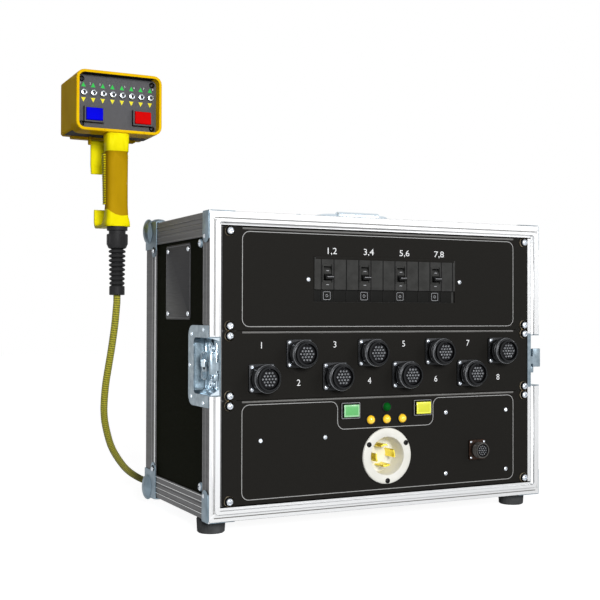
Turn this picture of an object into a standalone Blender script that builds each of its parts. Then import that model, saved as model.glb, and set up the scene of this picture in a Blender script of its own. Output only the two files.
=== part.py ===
"""Hoist motor controller: a rack flight case with three panels and a hanging pendant remote.

The object stands on its four rubber feet, Z up. The panels face -Y, X runs to the right
as seen from the front. All lengths are in metres. Positions in the functions below are
measured from the middle of the case's front face at floor level, and the frame empty
moves them so that the origin lies under the middle of the whole object.
"""
import math

import bmesh
import bpy
from mathutils import Matrix, Vector

for old in list(bpy.data.objects):
    bpy.data.objects.remove(old, do_unlink=True)

# Clearances
GAP = 0.0003                 # between pieces that touch
SLIDE_GAP = 0.0004           # round a piece that moves in a hole
OVERLAP = 0.0005             # how far shapes of one piece run into each other

# Case
CASE_WIDTH = 0.5195
CASE_DEPTH = 0.250
CASE_HEIGHT = 0.3927
FOOT_HEIGHT = 0.0195
FOOT_DIAMETER = 0.038
FOOT_INSET = 0.019           # front foot's centre from the case's side
FOOT_REAR_INSET = 0.072      # rear feet stand inside the ball corners
FOOT_FRONT_Y = 0.041
FOOT_REAR_Y = 0.209
SKIN = 0.002                 # wall of the aluminium edge profiles
LAMINATE = 0.0095            # wooden panels
EDGE_LEG = 0.032             # legs of the long edge profiles
FRONT_LEG = 0.023            # front frame's leg along the sides
REAR_LEG = 0.041             # rear ring's leg along the sides

# Rack opening and the panels in it
FRONT_BORDER = 0.01745       # front frame above and below the opening
SIDE_BORDER = 0.01475        # front frame beside the opening
OPENING_SLACK = 0.0022       # opening height beyond the panels
INPUT_UNITS = 3
OUTPUT_UNITS = 2
BREAKER_UNITS = 3
EAR_SLACK = 0.0037           # rack ear to the opening's side
EAR_REACH = 0.02555          # rack ear beyond the chassis
CHASSIS_DEPTH = 0.188
SHEET = 0.002                # panel sheet
PANEL_FACE_Y = 0.002
TONGUE_OFFSET = 0.0037       # ridge for the lid, outside the opening
TONGUE_WIDTH = 0.0045
TONGUE_HEIGHT = 0.004
RAIL_WIDTH = 0.0262

# Side latches
LATCH_BELOW = 0.0006         # middle of the pocket below the case's middle
LATCH_POCKET_HEIGHT = 0.0755
LATCH_POCKET_DEPTH = 0.0535  # along the case's side, from the front
LATCH_POCKET_IN = 0.0145     # into the case from its side
DISH_SHEET = 0.0012
DISH_FLANGE = 0.0142
WING_PIVOT_Y = 0.028
WING_LENGTH = 0.036

# Top handle
PLATE_HALF = 0.070
PLATE_FRONT_Y = 0.080
PLATE_LENGTH = 0.088
BAIL_HALF = 0.052
BAIL_ROD = 0.004             # its radius
BAIL_UP = 0.0083             # pivot above the case
BAIL_BACK = 0.072            # pivot behind the plate's front edge
BAIL_REACH = 0.0685
BAIL_GRIP_HALF = 0.034

# Breakers
BREAKER_COUNT = 4
BREAKER_MODULE = 0.019
BREAKER_WINDOW_HALF = 0.112
WINDOW_LOW_UNITS = 0.84814   # rack units above the panel's low edge, here and below
WINDOW_HIGH_UNITS = 2.19798
NOSE_LOW_UNITS = 1.21935
NOSE_HIGH_UNITS = 2.18673
BREAKER_DEPTH = 0.064
BREAKER_ABOVE = 0.0185       # body behind the panel, above and below the nose
BREAKER_BELOW = 0.021
HANDLE_FIRST_X = -0.092
HANDLE_MODULES = 3           # from one handle to the next
HANDLE_WIDTH = 0.0116
HANDLE_PIVOT_Y = 0.009
HANDLE_UNITS = 1.70304
HANDLE_REACH = 0.017
HANDLE_TILT = 25             # degrees either side of straight out

# Motor connectors
CONNECTOR_COUNT = 8
CONNECTOR_SIDE = 0.02829     # from the chassis's side to the first connector's middle
CONNECTOR_LOW_UNITS = 0.62540
CONNECTOR_HIGH_UNITS = 1.32280
CONNECTOR_FLANGE = 0.037
CONNECTOR_RING_DIAMETER = 0.0365
CONNECTOR_BARREL_DIAMETER = 0.032
CONNECTOR_FRONT = 0.0270     # front face before the panel

# Input panel
BUTTON_X = 0.057
BUTTON_UNITS = 2.57930
BUTTON_WIDTH = 0.024
BUTTON_HEIGHT = 0.017
BUTTON_PROUD = 0.006
BUTTON_TRAVEL = 0.003        # its joint's range
BEZEL_RIM = 0.0022
BEZEL_EASE = 0.0001          # bezel's opening beyond the panel's hole
LAMP_DIAMETER = 0.012
LAMP_PITCH = 0.025
LAMP_LOW_UNITS = 2.27559
LAMP_HIGH_UNITS = 2.64679
INLET_UNITS = 1.14623
INLET_DIAMETER_UNITS = 1.75478   # its size in rack units too
INLET_RIM = 0.0125           # from the recess to the flange's edge
INLET_DEPTH = 0.032
BLADE_TURN = 8               # degrees from level to the first blade
REMOTE_X = 0.1495
REMOTE_UNITS = 1.16198
REMOTE_FLANGE = 0.028
REMOTE_FRONT = 0.016

# Pendant remote
PENDANT_X = -0.3013
PENDANT_FACE_Y = 0.250
PENDANT_Z = 0.5887
PENDANT_WIDTH = 0.1276
PENDANT_HEIGHT = 0.0874
PENDANT_CORNER = 0.012
PENDANT_RIM = 0.004
PENDANT_BEZEL_DEPTH = 0.036
PENDANT_BODY_WIDTH = 0.1254
PENDANT_BODY_HEIGHT = 0.080
PENDANT_DEPTH = 0.096
RECESS_DEPTH = 0.015
FACE_PLATE = 0.002
TOGGLE_COUNT = 8
TOGGLE_PITCH = 0.0143
TOGGLE_Z = 0.0127            # above the pendant's middle
TOGGLE_REACH = 0.0115
TOGGLE_BALL = 0.0028
TOGGLE_BUSH_RADIUS = 0.0046
TOGGLE_BUSH_PROUD = 0.006
TOGGLE_SWING = 15            # its joint's range either way, in degrees
KEY_WIDTH = 0.0245
KEY_HEIGHT = 0.018
KEY_Z = -0.0187
GO_X = -0.0355
STOP_X = 0.037
KEY_PROUD = 0.010
KEY_TRAVEL = 0.002

# Pendant grip
GRIP_WIDTH = 0.031
GRIP_LENGTH = 0.136
GRIP_FRONT = 0.004           # grip's front and back behind the pendant's face
GRIP_BACK = 0.029
HOOK_WIDTH = 0.036
HOOK_SHEET = 0.004
HOOK_BACK = 0.074            # behind the pendant's face
HOOK_RISE = 0.029
TRIGGER_WIDTH = 0.043
TRIGGER_IN = 0.018           # pins in front of the pendant's back
TRIGGER_DROP = 0.0082        # pins below the housing
TRIGGER_LENGTH = 0.0485
TRIGGER_SHEET = 0.004
TRIGGER_SWING = 10           # its joint's range, in degrees

# Gland, cord, coil and plug
GLAND_RIGHT = 0.0015         # gland's axis from the pendant's middle
GLAND_BACK = 0.016           # and behind the pendant's face
GLAND_NUT = 0.0317
GLAND_NUT_HEIGHT = 0.027
GLAND_RIBS = 8
GLAND_RIB_START = 0.032      # ribs and end below the grip's foot
GLAND_RIB_LENGTH = 0.053
GLAND_LENGTH = 0.0996
CORD_DIAMETER = 0.0105
COIL_X = -0.070
COIL_Y = 0.395
COIL_INNER_RADIUS = 0.052
COIL_TURNS = 5               # in each of the two layers
COIL_ENTRY_ANGLE = 135       # degrees round the coil where the cord comes in
COIL_EXIT_ANGLE = 65         # and where it leaves for the plug
COIL_TAIL = 0.078            # straight stretch from the coil to the plug
COIL_SPACE = 0.0009          # between loops side by side
COIL_LAYER_SPACE = 0.0007
LOOP_POINTS = 24
PLUG_LENGTH = 0.075
# The hanging cord's route, from under the gland to the floor
CORD_ROUTE = [
    (-0.3022, 0.2675, 0.2667), (-0.3058, 0.2720, 0.2308),
    (-0.3087, 0.2770, 0.2040), (-0.3108, 0.2840, 0.1771), (-0.3107, 0.2920, 0.1497),
    (-0.3082, 0.3000, 0.1305), (-0.3027, 0.3090, 0.1110), (-0.2903, 0.3250, 0.0823),
    (-0.2733, 0.3430, 0.0590), (-0.2532, 0.3640, 0.0388), (-0.2307, 0.3850, 0.0235),
    (-0.2095, 0.4075, 0.0128), (-0.1885, 0.4300, 0.0068)]

# Where things follow from the sizes
CASE_HALF = CASE_WIDTH / 2
CASE_LOW = FOOT_HEIGHT
CASE_HIGH = FOOT_HEIGHT + CASE_HEIGHT
CASE_MID_Z = (CASE_LOW + CASE_HIGH) / 2
OPENING_WIDTH = CASE_WIDTH - 2 * SIDE_BORDER
OPENING_HALF = OPENING_WIDTH / 2
EAR_WIDTH = OPENING_WIDTH - 2 * EAR_SLACK
CHASSIS_WIDTH = EAR_WIDTH - 2 * EAR_REACH
CONNECTOR_PITCH = (CHASSIS_WIDTH - 2 * CONNECTOR_SIDE) / (CONNECTOR_COUNT - 1)
RACK_HEIGHT = CASE_HEIGHT - 2 * FRONT_BORDER - OPENING_SLACK
RACK_UNIT = RACK_HEIGHT / (INPUT_UNITS + OUTPUT_UNITS + BREAKER_UNITS)
OPENING_HEIGHT = RACK_HEIGHT + OPENING_SLACK
OPENING_LOW = CASE_MID_Z - OPENING_HEIGHT / 2
OPENING_HIGH = CASE_MID_Z + OPENING_HEIGHT / 2
INPUT_LOW = CASE_MID_Z - RACK_HEIGHT / 2
OUTPUT_LOW = INPUT_LOW + RACK_UNIT * INPUT_UNITS
BREAKER_LOW = OUTPUT_LOW + RACK_UNIT * OUTPUT_UNITS
BREAKER_HIGH = BREAKER_LOW + RACK_UNIT * BREAKER_UNITS
PANEL_BACK_Y = PANEL_FACE_Y + SHEET
BOARD_OUT = SKIN + GAP                       # laminate's outer face below the skin's
BOARD_IN = BOARD_OUT + LAMINATE
BREAKER_WINDOW_LOW = BREAKER_LOW + WINDOW_LOW_UNITS * RACK_UNIT
BREAKER_WINDOW_HIGH = BREAKER_LOW + WINDOW_HIGH_UNITS * RACK_UNIT
BREAKER_NOSE_LOW = BREAKER_LOW + NOSE_LOW_UNITS * RACK_UNIT
BREAKER_NOSE_HIGH = BREAKER_LOW + NOSE_HIGH_UNITS * RACK_UNIT
HANDLE_PITCH = HANDLE_MODULES * BREAKER_MODULE
HANDLE_PIVOT_Z = BREAKER_LOW + HANDLE_UNITS * RACK_UNIT
CONNECTOR_LOW_Z = OUTPUT_LOW + CONNECTOR_LOW_UNITS * RACK_UNIT
CONNECTOR_HIGH_Z = OUTPUT_LOW + CONNECTOR_HIGH_UNITS * RACK_UNIT
BUTTON_Z = INPUT_LOW + BUTTON_UNITS * RACK_UNIT
LAMP_LOW_Z = INPUT_LOW + LAMP_LOW_UNITS * RACK_UNIT
LAMP_HIGH_Z = INPUT_LOW + LAMP_HIGH_UNITS * RACK_UNIT
INLET_Z = INPUT_LOW + INLET_UNITS * RACK_UNIT
INLET_DIAMETER = INLET_DIAMETER_UNITS * RACK_UNIT
INLET_RECESS_DIAMETER = INLET_DIAMETER - 2 * INLET_RIM
REMOTE_Z = INPUT_LOW + REMOTE_UNITS * RACK_UNIT
LATCH_Z = CASE_MID_Z - LATCH_BELOW
POCKET_LOW = LATCH_Z - LATCH_POCKET_HEIGHT / 2
POCKET_HIGH = LATCH_Z + LATCH_POCKET_HEIGHT / 2
PENDANT_LEFT = PENDANT_X - PENDANT_WIDTH / 2
PENDANT_BACK_Y = PENDANT_FACE_Y + PENDANT_DEPTH
GRIP_FRONT_Y = PENDANT_FACE_Y + GRIP_FRONT
GRIP_BACK_Y = PENDANT_FACE_Y + GRIP_BACK
GRIP_FOOT_Z = PENDANT_Z - PENDANT_HEIGHT / 2 - GRIP_LENGTH
HOOK_BACK_Y = PENDANT_FACE_Y + HOOK_BACK
HOOK_TIP_Z = GRIP_FOOT_Z + HOOK_RISE
TRIGGER_Y = PENDANT_BACK_Y - TRIGGER_IN
TRIGGER_Z = PENDANT_Z - PENDANT_BODY_HEIGHT / 2 - TRIGGER_DROP
GLAND_X = PENDANT_X + GLAND_RIGHT
GLAND_Y = PENDANT_FACE_Y + GLAND_BACK
GLAND_RIB_TOP_Z = GRIP_FOOT_Z - GLAND_RIB_START
GLAND_RIB_LOW_Z = GLAND_RIB_TOP_Z - GLAND_RIB_LENGTH
GLAND_END_Z = GRIP_FOOT_Z - GLAND_LENGTH
BALL_OUT = 0.008                             # ball corner's dome beyond the case
CASE_EXTENT = CASE_HALF + BALL_OUT
FRONT_EXTENT = CONNECTOR_FRONT - PANEL_FACE_Y
ORIGIN_X = (PENDANT_LEFT + CASE_EXTENT) / 2
ORIGIN_Y = (PENDANT_BACK_Y - FRONT_EXTENT) / 2

PARTS = bpy.data.collections.new("Hoist motor controller")
CUTTERS = bpy.data.collections.new("Cutters")
bpy.context.scene.collection.children.link(PARTS)
bpy.context.scene.collection.children.link(CUTTERS)

FRAME = bpy.data.objects.new("frame origin", None)
FRAME.location = (-ORIGIN_X, -ORIGIN_Y, 0.0)
PARTS.objects.link(FRAME)

# Turns that stand a flat outline up: facing the front, and facing the right side
FACING_FRONT = (math.pi / 2, 0.0, 0.0)
FACING_RIGHT = (math.pi / 2, 0.0, math.pi / 2)
FLAT = (0.0, 0.0, 0.0)

FINISHES = {
    "black_steel": ((0.012, 0.012, 0.013), 0.3, 0.45),
    "aluminium": ((0.62, 0.63, 0.64), 1.0, 0.32),
    "chrome": ((0.80, 0.80, 0.80), 1.0, 0.12),
    "laminate": ((0.010, 0.010, 0.012), 0.0, 0.55),
    "rubber": ((0.015, 0.015, 0.015), 0.0, 0.80),
    "grey_plastic": ((0.13, 0.13, 0.14), 0.0, 0.50),
    "black_plastic": ((0.014, 0.014, 0.015), 0.0, 0.42),
    "white_plastic": ((0.80, 0.77, 0.70), 0.0, 0.45),
    "yellow_plastic": ((0.85, 0.56, 0.03), 0.0, 0.40),
    "green_plastic": ((0.02, 0.36, 0.12), 0.0, 0.35),
    "blue_plastic": ((0.02, 0.10, 0.45), 0.0, 0.35),
    "red_plastic": ((0.55, 0.02, 0.02), 0.0, 0.35),
    "amber_plastic": ((0.80, 0.38, 0.02), 0.0, 0.25),
    "braid": ((0.35, 0.42, 0.08), 0.0, 0.75),
}


def finishMaterial(node, finish):
    """The piece's own material, from the finish that it shares with others."""
    colour, metallic, roughness = FINISHES[finish]
    made = bpy.data.materials.new(node + " " + finish)
    made.use_nodes = True
    shader = made.node_tree.nodes["Principled BSDF"]
    shader.inputs["Base Color"].default_value = (*colour, 1.0)
    shader.inputs["Metallic"].default_value = metallic
    shader.inputs["Roughness"].default_value = roughness
    return made


def add(name, mesh, finish=None, at=(0.0, 0.0, 0.0), turn=FLAT, parent=None):
    """Place a mesh as a part, or as a cutter when it has no finish."""
    piece = bpy.data.objects.new(name, mesh)
    piece.location = at
    piece.rotation_euler = turn
    piece.parent = parent or FRAME
    if finish:
        mesh.materials.clear()
        mesh.materials.append(finishMaterial(name, finish))
        PARTS.objects.link(piece)
    else:
        CUTTERS.objects.link(piece)
        piece.hide_render = True
        piece.display_type = "WIRE"
    return piece


def boxMesh(low, high):
    """A box between two corners."""
    low, high = Vector(low), Vector(high)
    shape = bmesh.new()
    place = Matrix.Translation((low + high) / 2) @ Matrix.Diagonal((*(high - low), 1.0))
    bmesh.ops.create_cube(shape, size=1.0, matrix=place)
    mesh = bpy.data.meshes.new("box")
    shape.to_mesh(mesh)
    shape.free()
    return mesh


def boxesMesh(spans):
    """Several separate boxes in one mesh, for a pattern of cuts."""
    shape = bmesh.new()
    for low, high in spans:
        low, high = Vector(low), Vector(high)
        place = Matrix.Translation((low + high) / 2) @ Matrix.Diagonal((*(high - low), 1.0))
        bmesh.ops.create_cube(shape, size=1.0, matrix=place)
    mesh = bpy.data.meshes.new("boxes")
    shape.to_mesh(mesh)
    shape.free()
    return mesh


def rodMesh(radius, start, end, sides=24, tip=None):
    """A round rod between two points, with another radius at its end if one is given."""
    start, end = Vector(start), Vector(end)
    run = end - start
    place = Matrix.Translation((start + end) / 2) @ run.to_track_quat("Z", "Y").to_matrix().to_4x4()
    shape = bmesh.new()
    bmesh.ops.create_cone(shape, cap_ends=True, segments=sides, radius1=radius,
                          radius2=radius if tip is None else tip, depth=run.length, matrix=place)
    mesh = bpy.data.meshes.new("rod")
    shape.to_mesh(mesh)
    shape.free()
    return smooth(mesh)


def smooth(mesh, angle=35):
    """Smooth shading with sharp edges kept."""
    mesh.shade_smooth()
    mesh.set_sharp_from_angle(angle=math.radians(angle))
    return mesh


def circle(x, y, radius, points=24):
    """Points round a circle."""
    steps = [2 * math.pi * i / points for i in range(points)]
    return [(x + radius * math.cos(a), y + radius * math.sin(a)) for a in steps]


def arc(x, y, radius, start, end, points=5):
    """Points along an arc, angles in degrees."""
    steps = [math.radians(start + (end - start) * i / (points - 1)) for i in range(points)]
    return [(x + radius * math.cos(a), y + radius * math.sin(a)) for a in steps]


def rounded(left, right, low, high, radius, points=4):
    """A rectangle with round corners."""
    return (arc(right - radius, high - radius, radius, 0, 90, points)
            + arc(left + radius, high - radius, radius, 90, 180, points)
            + arc(left + radius, low + radius, radius, 180, 270, points)
            + arc(right - radius, low + radius, radius, 270, 360, points))


def rectangle(left, right, low, high):
    """A rectangle's four corners."""
    return [(left, low), (right, low), (right, high), (left, high)]


def outlineMesh(outlines, thickness):
    """A flat sheet of one outer outline and any holes, centred on its own plane."""
    curve = bpy.data.curves.new("outline", "CURVE")
    curve.dimensions = "2D"
    curve.fill_mode = "BOTH"
    curve.extrude = thickness / 2
    curve.resolution_u = 1
    curve.render_resolution_u = 0
    for points in outlines:
        spline = curve.splines.new("POLY")
        spline.points.add(len(points) - 1)
        spline.use_cyclic_u = True
        for point, (x, y) in zip(spline.points, points):
            point.co = (x, y, 0.0, 1.0)
    return meshFromCurve(curve)


def meshFromCurve(curve):
    """The closed mesh that a curve makes, with its caps welded on."""
    holder = bpy.data.objects.new("curve", curve)
    bpy.context.scene.collection.objects.link(holder)
    graph = bpy.context.evaluated_depsgraph_get()
    mesh = bpy.data.meshes.new_from_object(holder.evaluated_get(graph))
    bpy.data.objects.remove(holder, do_unlink=True)
    shape = bmesh.new()
    shape.from_mesh(mesh)
    bmesh.ops.remove_doubles(shape, verts=shape.verts, dist=0.000002)
    bmesh.ops.recalc_face_normals(shape, faces=shape.faces)
    shape.to_mesh(mesh)
    shape.free()
    return smooth(mesh)


def bevel(piece, width, segments=2, angle=40):
    """Rounded edges."""
    change = piece.modifiers.new("rounded edges", "BEVEL")
    change.width = width
    change.segments = segments
    change.limit_method = "ANGLE"
    change.angle_limit = math.radians(angle)
    return piece


def turned(name, profile, finish=None, at=(0.0, 0.0, 0.0), turn=FLAT, steps=24):
    """A shape turned about its own Z axis from points of radius and height, top to bottom."""
    mesh = bpy.data.meshes.new("profile")
    points = [(radius, 0.0, height) for radius, height in profile]
    mesh.from_pydata(points, [(i, i + 1) for i in range(len(points) - 1)], [])
    piece = add(name, mesh, finish, at, turn)
    spin = piece.modifiers.new("turned", "SCREW")
    spin.axis = "Z"
    spin.angle = 2 * math.pi
    spin.steps = steps
    spin.render_steps = steps
    spin.use_merge_vertices = True
    spin.merge_threshold = 0.00001
    spin.use_smooth_shade = True
    return piece


def combine(piece, others, operation="UNION"):
    """Join other shapes to a piece, or cut them out of it."""
    for other in others:
        change = piece.modifiers.new(other.name, "BOOLEAN")
        change.operation = operation
        change.object = other
        change.solver = "EXACT"
    return piece


def cut(piece, others):
    """Cut other shapes out of a piece."""
    return combine(piece, others, "DIFFERENCE")


def finished(piece):
    """The mesh that a piece and its modifiers make, measured from the piece's own origin."""
    graph = bpy.context.evaluated_depsgraph_get()
    return bpy.data.meshes.new_from_object(piece.evaluated_get(graph))


def mirrored(mesh, x=1, y=1, z=1):
    """A copy of a mesh mirrored in the planes whose sign is -1."""
    shape = bmesh.new()
    shape.from_mesh(mesh)
    bmesh.ops.transform(shape, matrix=Matrix.Diagonal((x, y, z, 1.0)), verts=shape.verts)
    if x * y * z < 0:
        bmesh.ops.reverse_faces(shape, faces=shape.faces)
    copy = bpy.data.meshes.new(mesh.name)
    shape.to_mesh(copy)
    shape.free()
    return smooth(copy)


def caseBlock(name, low_y, high_y):
    """A solid slice of the case's outline, which the frames are cut from."""
    outer = outlineMesh([rounded(-CASE_HALF, CASE_HALF, CASE_LOW, CASE_HIGH, 0.003)], high_y - low_y)
    return add(name, outer, "aluminium", (0, (low_y + high_y) / 2, 0), FACING_FRONT)


def buildFrontFrame():
    """The front frame: face, legs, lid ridge, rack rails and corner brackets in one piece."""
    frame = caseBlock("front_frame", 0.0, FRONT_LEG)
    inside = boxMesh((-CASE_HALF + SKIN, SKIN, CASE_LOW + SKIN), (CASE_HALF - SKIN, 0.1, CASE_HIGH - SKIN))
    hole = boxMesh((-OPENING_HALF, -0.1, OPENING_LOW), (OPENING_HALF, 0.1, OPENING_HIGH))
    cut(frame, [add("front frame inside", inside), add("rack opening", hole)])
    reach = TONGUE_OFFSET + TONGUE_WIDTH
    ridge = outlineMesh([
        rounded(-OPENING_HALF - reach, OPENING_HALF + reach,
                OPENING_LOW - reach, OPENING_HIGH + reach, 0.006),
        rounded(-OPENING_HALF - TONGUE_OFFSET, OPENING_HALF + TONGUE_OFFSET,
                OPENING_LOW - TONGUE_OFFSET, OPENING_HIGH + TONGUE_OFFSET, 0.004)],
        TONGUE_HEIGHT + OVERLAP)
    ridge = add("lid ridge", ridge, None, (0, (OVERLAP - TONGUE_HEIGHT) / 2, 0), FACING_FRONT)
    shapes = [ridge]
    rail_out = CASE_HALF - BOARD_IN - GAP
    rail_y = PANEL_BACK_Y + GAP
    for side in (-1, 1):
        low_x, high_x = sorted((side * (rail_out - SKIN), side * rail_out))
        leg = boxMesh((low_x, SKIN - OVERLAP, INPUT_LOW), (high_x, 0.030, BREAKER_HIGH))
        shapes.append(add("rail leg", leg))
        low_x, high_x = sorted((side * (rail_out - RAIL_WIDTH), side * (rail_out - SKIN / 2)))
        flange = boxMesh((low_x, rail_y, INPUT_LOW), (high_x, rail_y + SKIN, BREAKER_HIGH))
        shapes.append(add("rail flange", flange))
        for end in (-1, 1):
            shapes.append(cornerBracket(side, end))
    combine(frame, shapes)
    pockets = []
    for side in (-1, 1):
        low_x, high_x = sorted((side * (CASE_HALF - LATCH_POCKET_IN - 0.0012), side * 0.300))
        pocket = boxMesh((low_x, -0.020, POCKET_LOW), (high_x, 0.060, POCKET_HIGH))
        pockets.append(add("latch pocket", pocket))
    cut(frame, pockets)


def cornerBracket(side, end):
    """A thin angle over one front corner of the case."""
    x = side * CASE_HALF
    z = CASE_MID_Z + end * CASE_HEIGHT / 2
    reach, sheet = 0.035, 0.0010
    low_x, high_x = sorted((x - side * reach, x + side * sheet))
    low_z, high_z = sorted((z - end * OVERLAP, z + end * sheet))
    bracket = add("corner bracket", boxMesh((low_x, 0.0005, low_z), (high_x, 0.0225, high_z)))
    low_x, high_x = sorted((x - side * OVERLAP, x + side * sheet))
    low_z, high_z = sorted((z - end * reach, z + end * sheet))
    down = add("bracket side", boxMesh((low_x, 0.0005, low_z), (high_x, 0.0225, high_z)))
    return combine(bracket, [down])


def buildEdgeFrame():
    """The rear ring and the four long edge profiles, with grooves along the profiles."""
    start = FRONT_LEG + GAP
    frame = caseBlock("edge_frame", start, CASE_DEPTH)
    inside = boxMesh((-CASE_HALF + SKIN, 0.0, CASE_LOW + SKIN),
                     (CASE_HALF - SKIN, CASE_DEPTH - SKIN, CASE_HIGH - SKIN))
    through = CASE_DEPTH - REAR_LEG
    sides = boxMesh((-0.400, 0.0, CASE_LOW + EDGE_LEG), (0.400, through, CASE_HIGH - EDGE_LEG))
    ends = boxMesh((-CASE_HALF + EDGE_LEG, 0.0, -0.100), (CASE_HALF - EDGE_LEG, through, 0.600))
    back = boxMesh((-CASE_HALF + EDGE_LEG, 0.100, CASE_LOW + EDGE_LEG),
                   (CASE_HALF - EDGE_LEG, 0.400, CASE_HIGH - EDGE_LEG))
    grooves = []
    depth, width = 0.0007, 0.0016
    first, last = start - 0.010, through - 0.004
    for side in (-1, 1):
        for end in (-1, 1):
            for step in range(3):
                along = 0.009 + 0.006 * step
                low_x, high_x = sorted((side * (CASE_HALF - depth), side * (CASE_HALF + 0.002)))
                z = CASE_MID_Z + end * (CASE_HEIGHT / 2 - along)
                grooves.append(((low_x, first, z - width / 2), (high_x, last, z + width / 2)))
                x = side * (CASE_HALF - along)
                edge = CASE_MID_Z + end * CASE_HEIGHT / 2
                low_z, high_z = sorted((edge - end * depth, edge + end * 0.002))
                grooves.append(((x - width / 2, first, low_z), (x + width / 2, last, high_z)))
    shapes = [add("case inside", inside), add("side windows", sides), add("top windows", ends),
              add("rear window", back), add("profile grooves", boxesMesh(grooves))]
    cut(frame, shapes)


def buildBoards():
    """The five laminate panels behind the aluminium edges."""
    front, back = SKIN + GAP, CASE_DEPTH - BOARD_OUT
    out_x, in_x = CASE_HALF - BOARD_OUT, CASE_HALF - BOARD_IN
    low_out, low_in = CASE_LOW + BOARD_OUT, CASE_LOW + BOARD_IN
    high_out, high_in = CASE_HIGH - BOARD_OUT, CASE_HIGH - BOARD_IN
    add("top_panel", boxMesh((-out_x, front, high_in), (out_x, back, high_out)), "laminate")
    add("bottom_panel", boxMesh((-out_x, front, low_out), (out_x, back, low_in)), "laminate")
    low, high = low_in + GAP, high_in - GAP
    notch = LATCH_POCKET_DEPTH + 0.002
    side = [(front, low), (back, low), (back, high), (front, high), (front, POCKET_HIGH),
            (notch, POCKET_HIGH), (notch, POCKET_LOW), (front, POCKET_LOW)]
    for name, sign in (("left_panel", -1), ("right_panel", 1)):
        at = (sign * (out_x + in_x) / 2, 0, 0)
        add(name, outlineMesh([side], LAMINATE), "laminate", at, FACING_RIGHT)
    inner = in_x - GAP
    rear = boxMesh((-inner, back - LAMINATE, low), (inner, back, high))
    add("rear_panel", rear, "laminate")


def buildCorners():
    """A ball corner on each rear corner: three lobed plates round a dome."""
    sheet = 0.0012
    corner = Vector((CASE_HALF, CASE_DEPTH, CASE_HIGH))
    middle, thick = GAP + sheet / 2 - OVERLAP / 2, sheet + OVERLAP
    side = outlineMesh([[(-a, -b) for a, b in lobed(0.0)]], thick)
    side = add("corner side", side, None, corner + Vector((middle, 0, 0)), FACING_RIGHT)
    top = outlineMesh([[(-b, -a) for a, b in lobed(0.0007)]], thick)
    top = add("corner top", top, None, corner + Vector((0, 0, middle)), FLAT)
    rear = outlineMesh([[(-a, -b) for a, b in lobed(0.0014)]], thick)
    rear = add("corner rear", rear, None, corner + Vector((0, middle, 0)), FACING_FRONT)
    ball = bmesh.new()
    bmesh.ops.create_uvsphere(ball, u_segments=16, v_segments=10, radius=0.0215)
    dome = bpy.data.meshes.new("dome")
    ball.to_mesh(dome)
    ball.free()
    inset = Vector((1, 1, 1)) * (BALL_OUT - 0.0215)
    dome = add("corner dome", smooth(dome), None, corner + inset)
    inside = boxMesh((-0.1, -0.1, -0.1), corner + Vector((GAP, GAP, GAP)))
    inside = add("corner inside", inside)
    combine(side, [top, rear, dome])
    cut(side, [inside])
    bpy.context.view_layer.update()
    mesh = finished(side)
    mesh.transform(side.matrix_local)
    mesh.transform(Matrix.Translation((0, 0, -CASE_MID_Z)))
    names = (("ball_corner_1", -1, 1), ("ball_corner_2", 1, 1),
             ("ball_corner_3", -1, -1), ("ball_corner_4", 1, -1))
    for name, x, z in names:
        add(name, mirrored(mesh, x=x, z=z), "chrome", (0, 0, CASE_MID_Z))
    bpy.data.objects.remove(side, do_unlink=True)


def lobed(less):
    """A corner plate's outline: two straight edges and a lobe, measured from the corner."""
    edge = -0.0009 - less / 4
    return ([(edge, edge), (0.046 - less, edge)]
            + arc(0.036 - less, 0.040 - less, 0.010, 0, 180, 6)
            + [(0.026 - less, 0.0377 - less), (edge, 0.0377 - less)])


def buildFeet():
    """Four turned rubber feet."""
    wide, top = FOOT_DIAMETER / 2, FOOT_HEIGHT - GAP
    profile = [(0, top), (wide - 0.0015, top), (wide, top - 0.0015), (wide - 0.001, 0.0015),
               (wide - 0.0025, 0), (0, 0)]
    x = CASE_HALF - FOOT_INSET
    rear = CASE_HALF - FOOT_REAR_INSET
    places = [(-x, FOOT_FRONT_Y), (x, FOOT_FRONT_Y), (-rear, FOOT_REAR_Y), (rear, FOOT_REAR_Y)]
    for number, (x, y) in enumerate(places, 1):
        turned("foot_%d" % number, profile, "rubber", (x, y, 0))


def chassisPan(low, high):
    """The open-backed box behind a rack panel."""
    half, inset = CHASSIS_WIDTH / 2, 0.0008
    outer = rectangle(-half, half, low + inset, high - inset)
    inner = rectangle(-half + SHEET, half - SHEET, low + inset + SHEET, high - inset - SHEET)
    start, end = PANEL_BACK_Y - OVERLAP, CHASSIS_DEPTH
    pan = outlineMesh([outer, inner], end - start)
    return add("chassis pan", pan, None, (0, (start + end) / 2, 0), FACING_FRONT)


def rackPanel(name, low, high, holes):
    """A rack panel with its holes, and the open-backed pan behind it."""
    ear = EAR_WIDTH / 2
    outer = rounded(-ear, ear, low + GAP, high - GAP, 0.002, 3)
    sheet = outlineMesh([outer] + holes, SHEET)
    panel = add(name, sheet, "black_steel", (0, PANEL_FACE_Y + SHEET / 2, 0), FACING_FRONT)
    return combine(panel, [chassisPan(low, high)])


def connectorPlaces():
    """Centres of the motor connectors, left to right, low and high in turn."""
    first = -CONNECTOR_PITCH * (CONNECTOR_COUNT - 1) / 2
    return [(first + CONNECTOR_PITCH * i, CONNECTOR_HIGH_Z if i % 2 else CONNECTOR_LOW_Z)
            for i in range(CONNECTOR_COUNT)]


def lampPlaces():
    """Centres of the three phase lamps and of the lamp above them."""
    return [(-LAMP_PITCH, LAMP_LOW_Z), (0.0, LAMP_LOW_Z), (LAMP_PITCH, LAMP_LOW_Z), (0.0, LAMP_HIGH_Z)]


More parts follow.
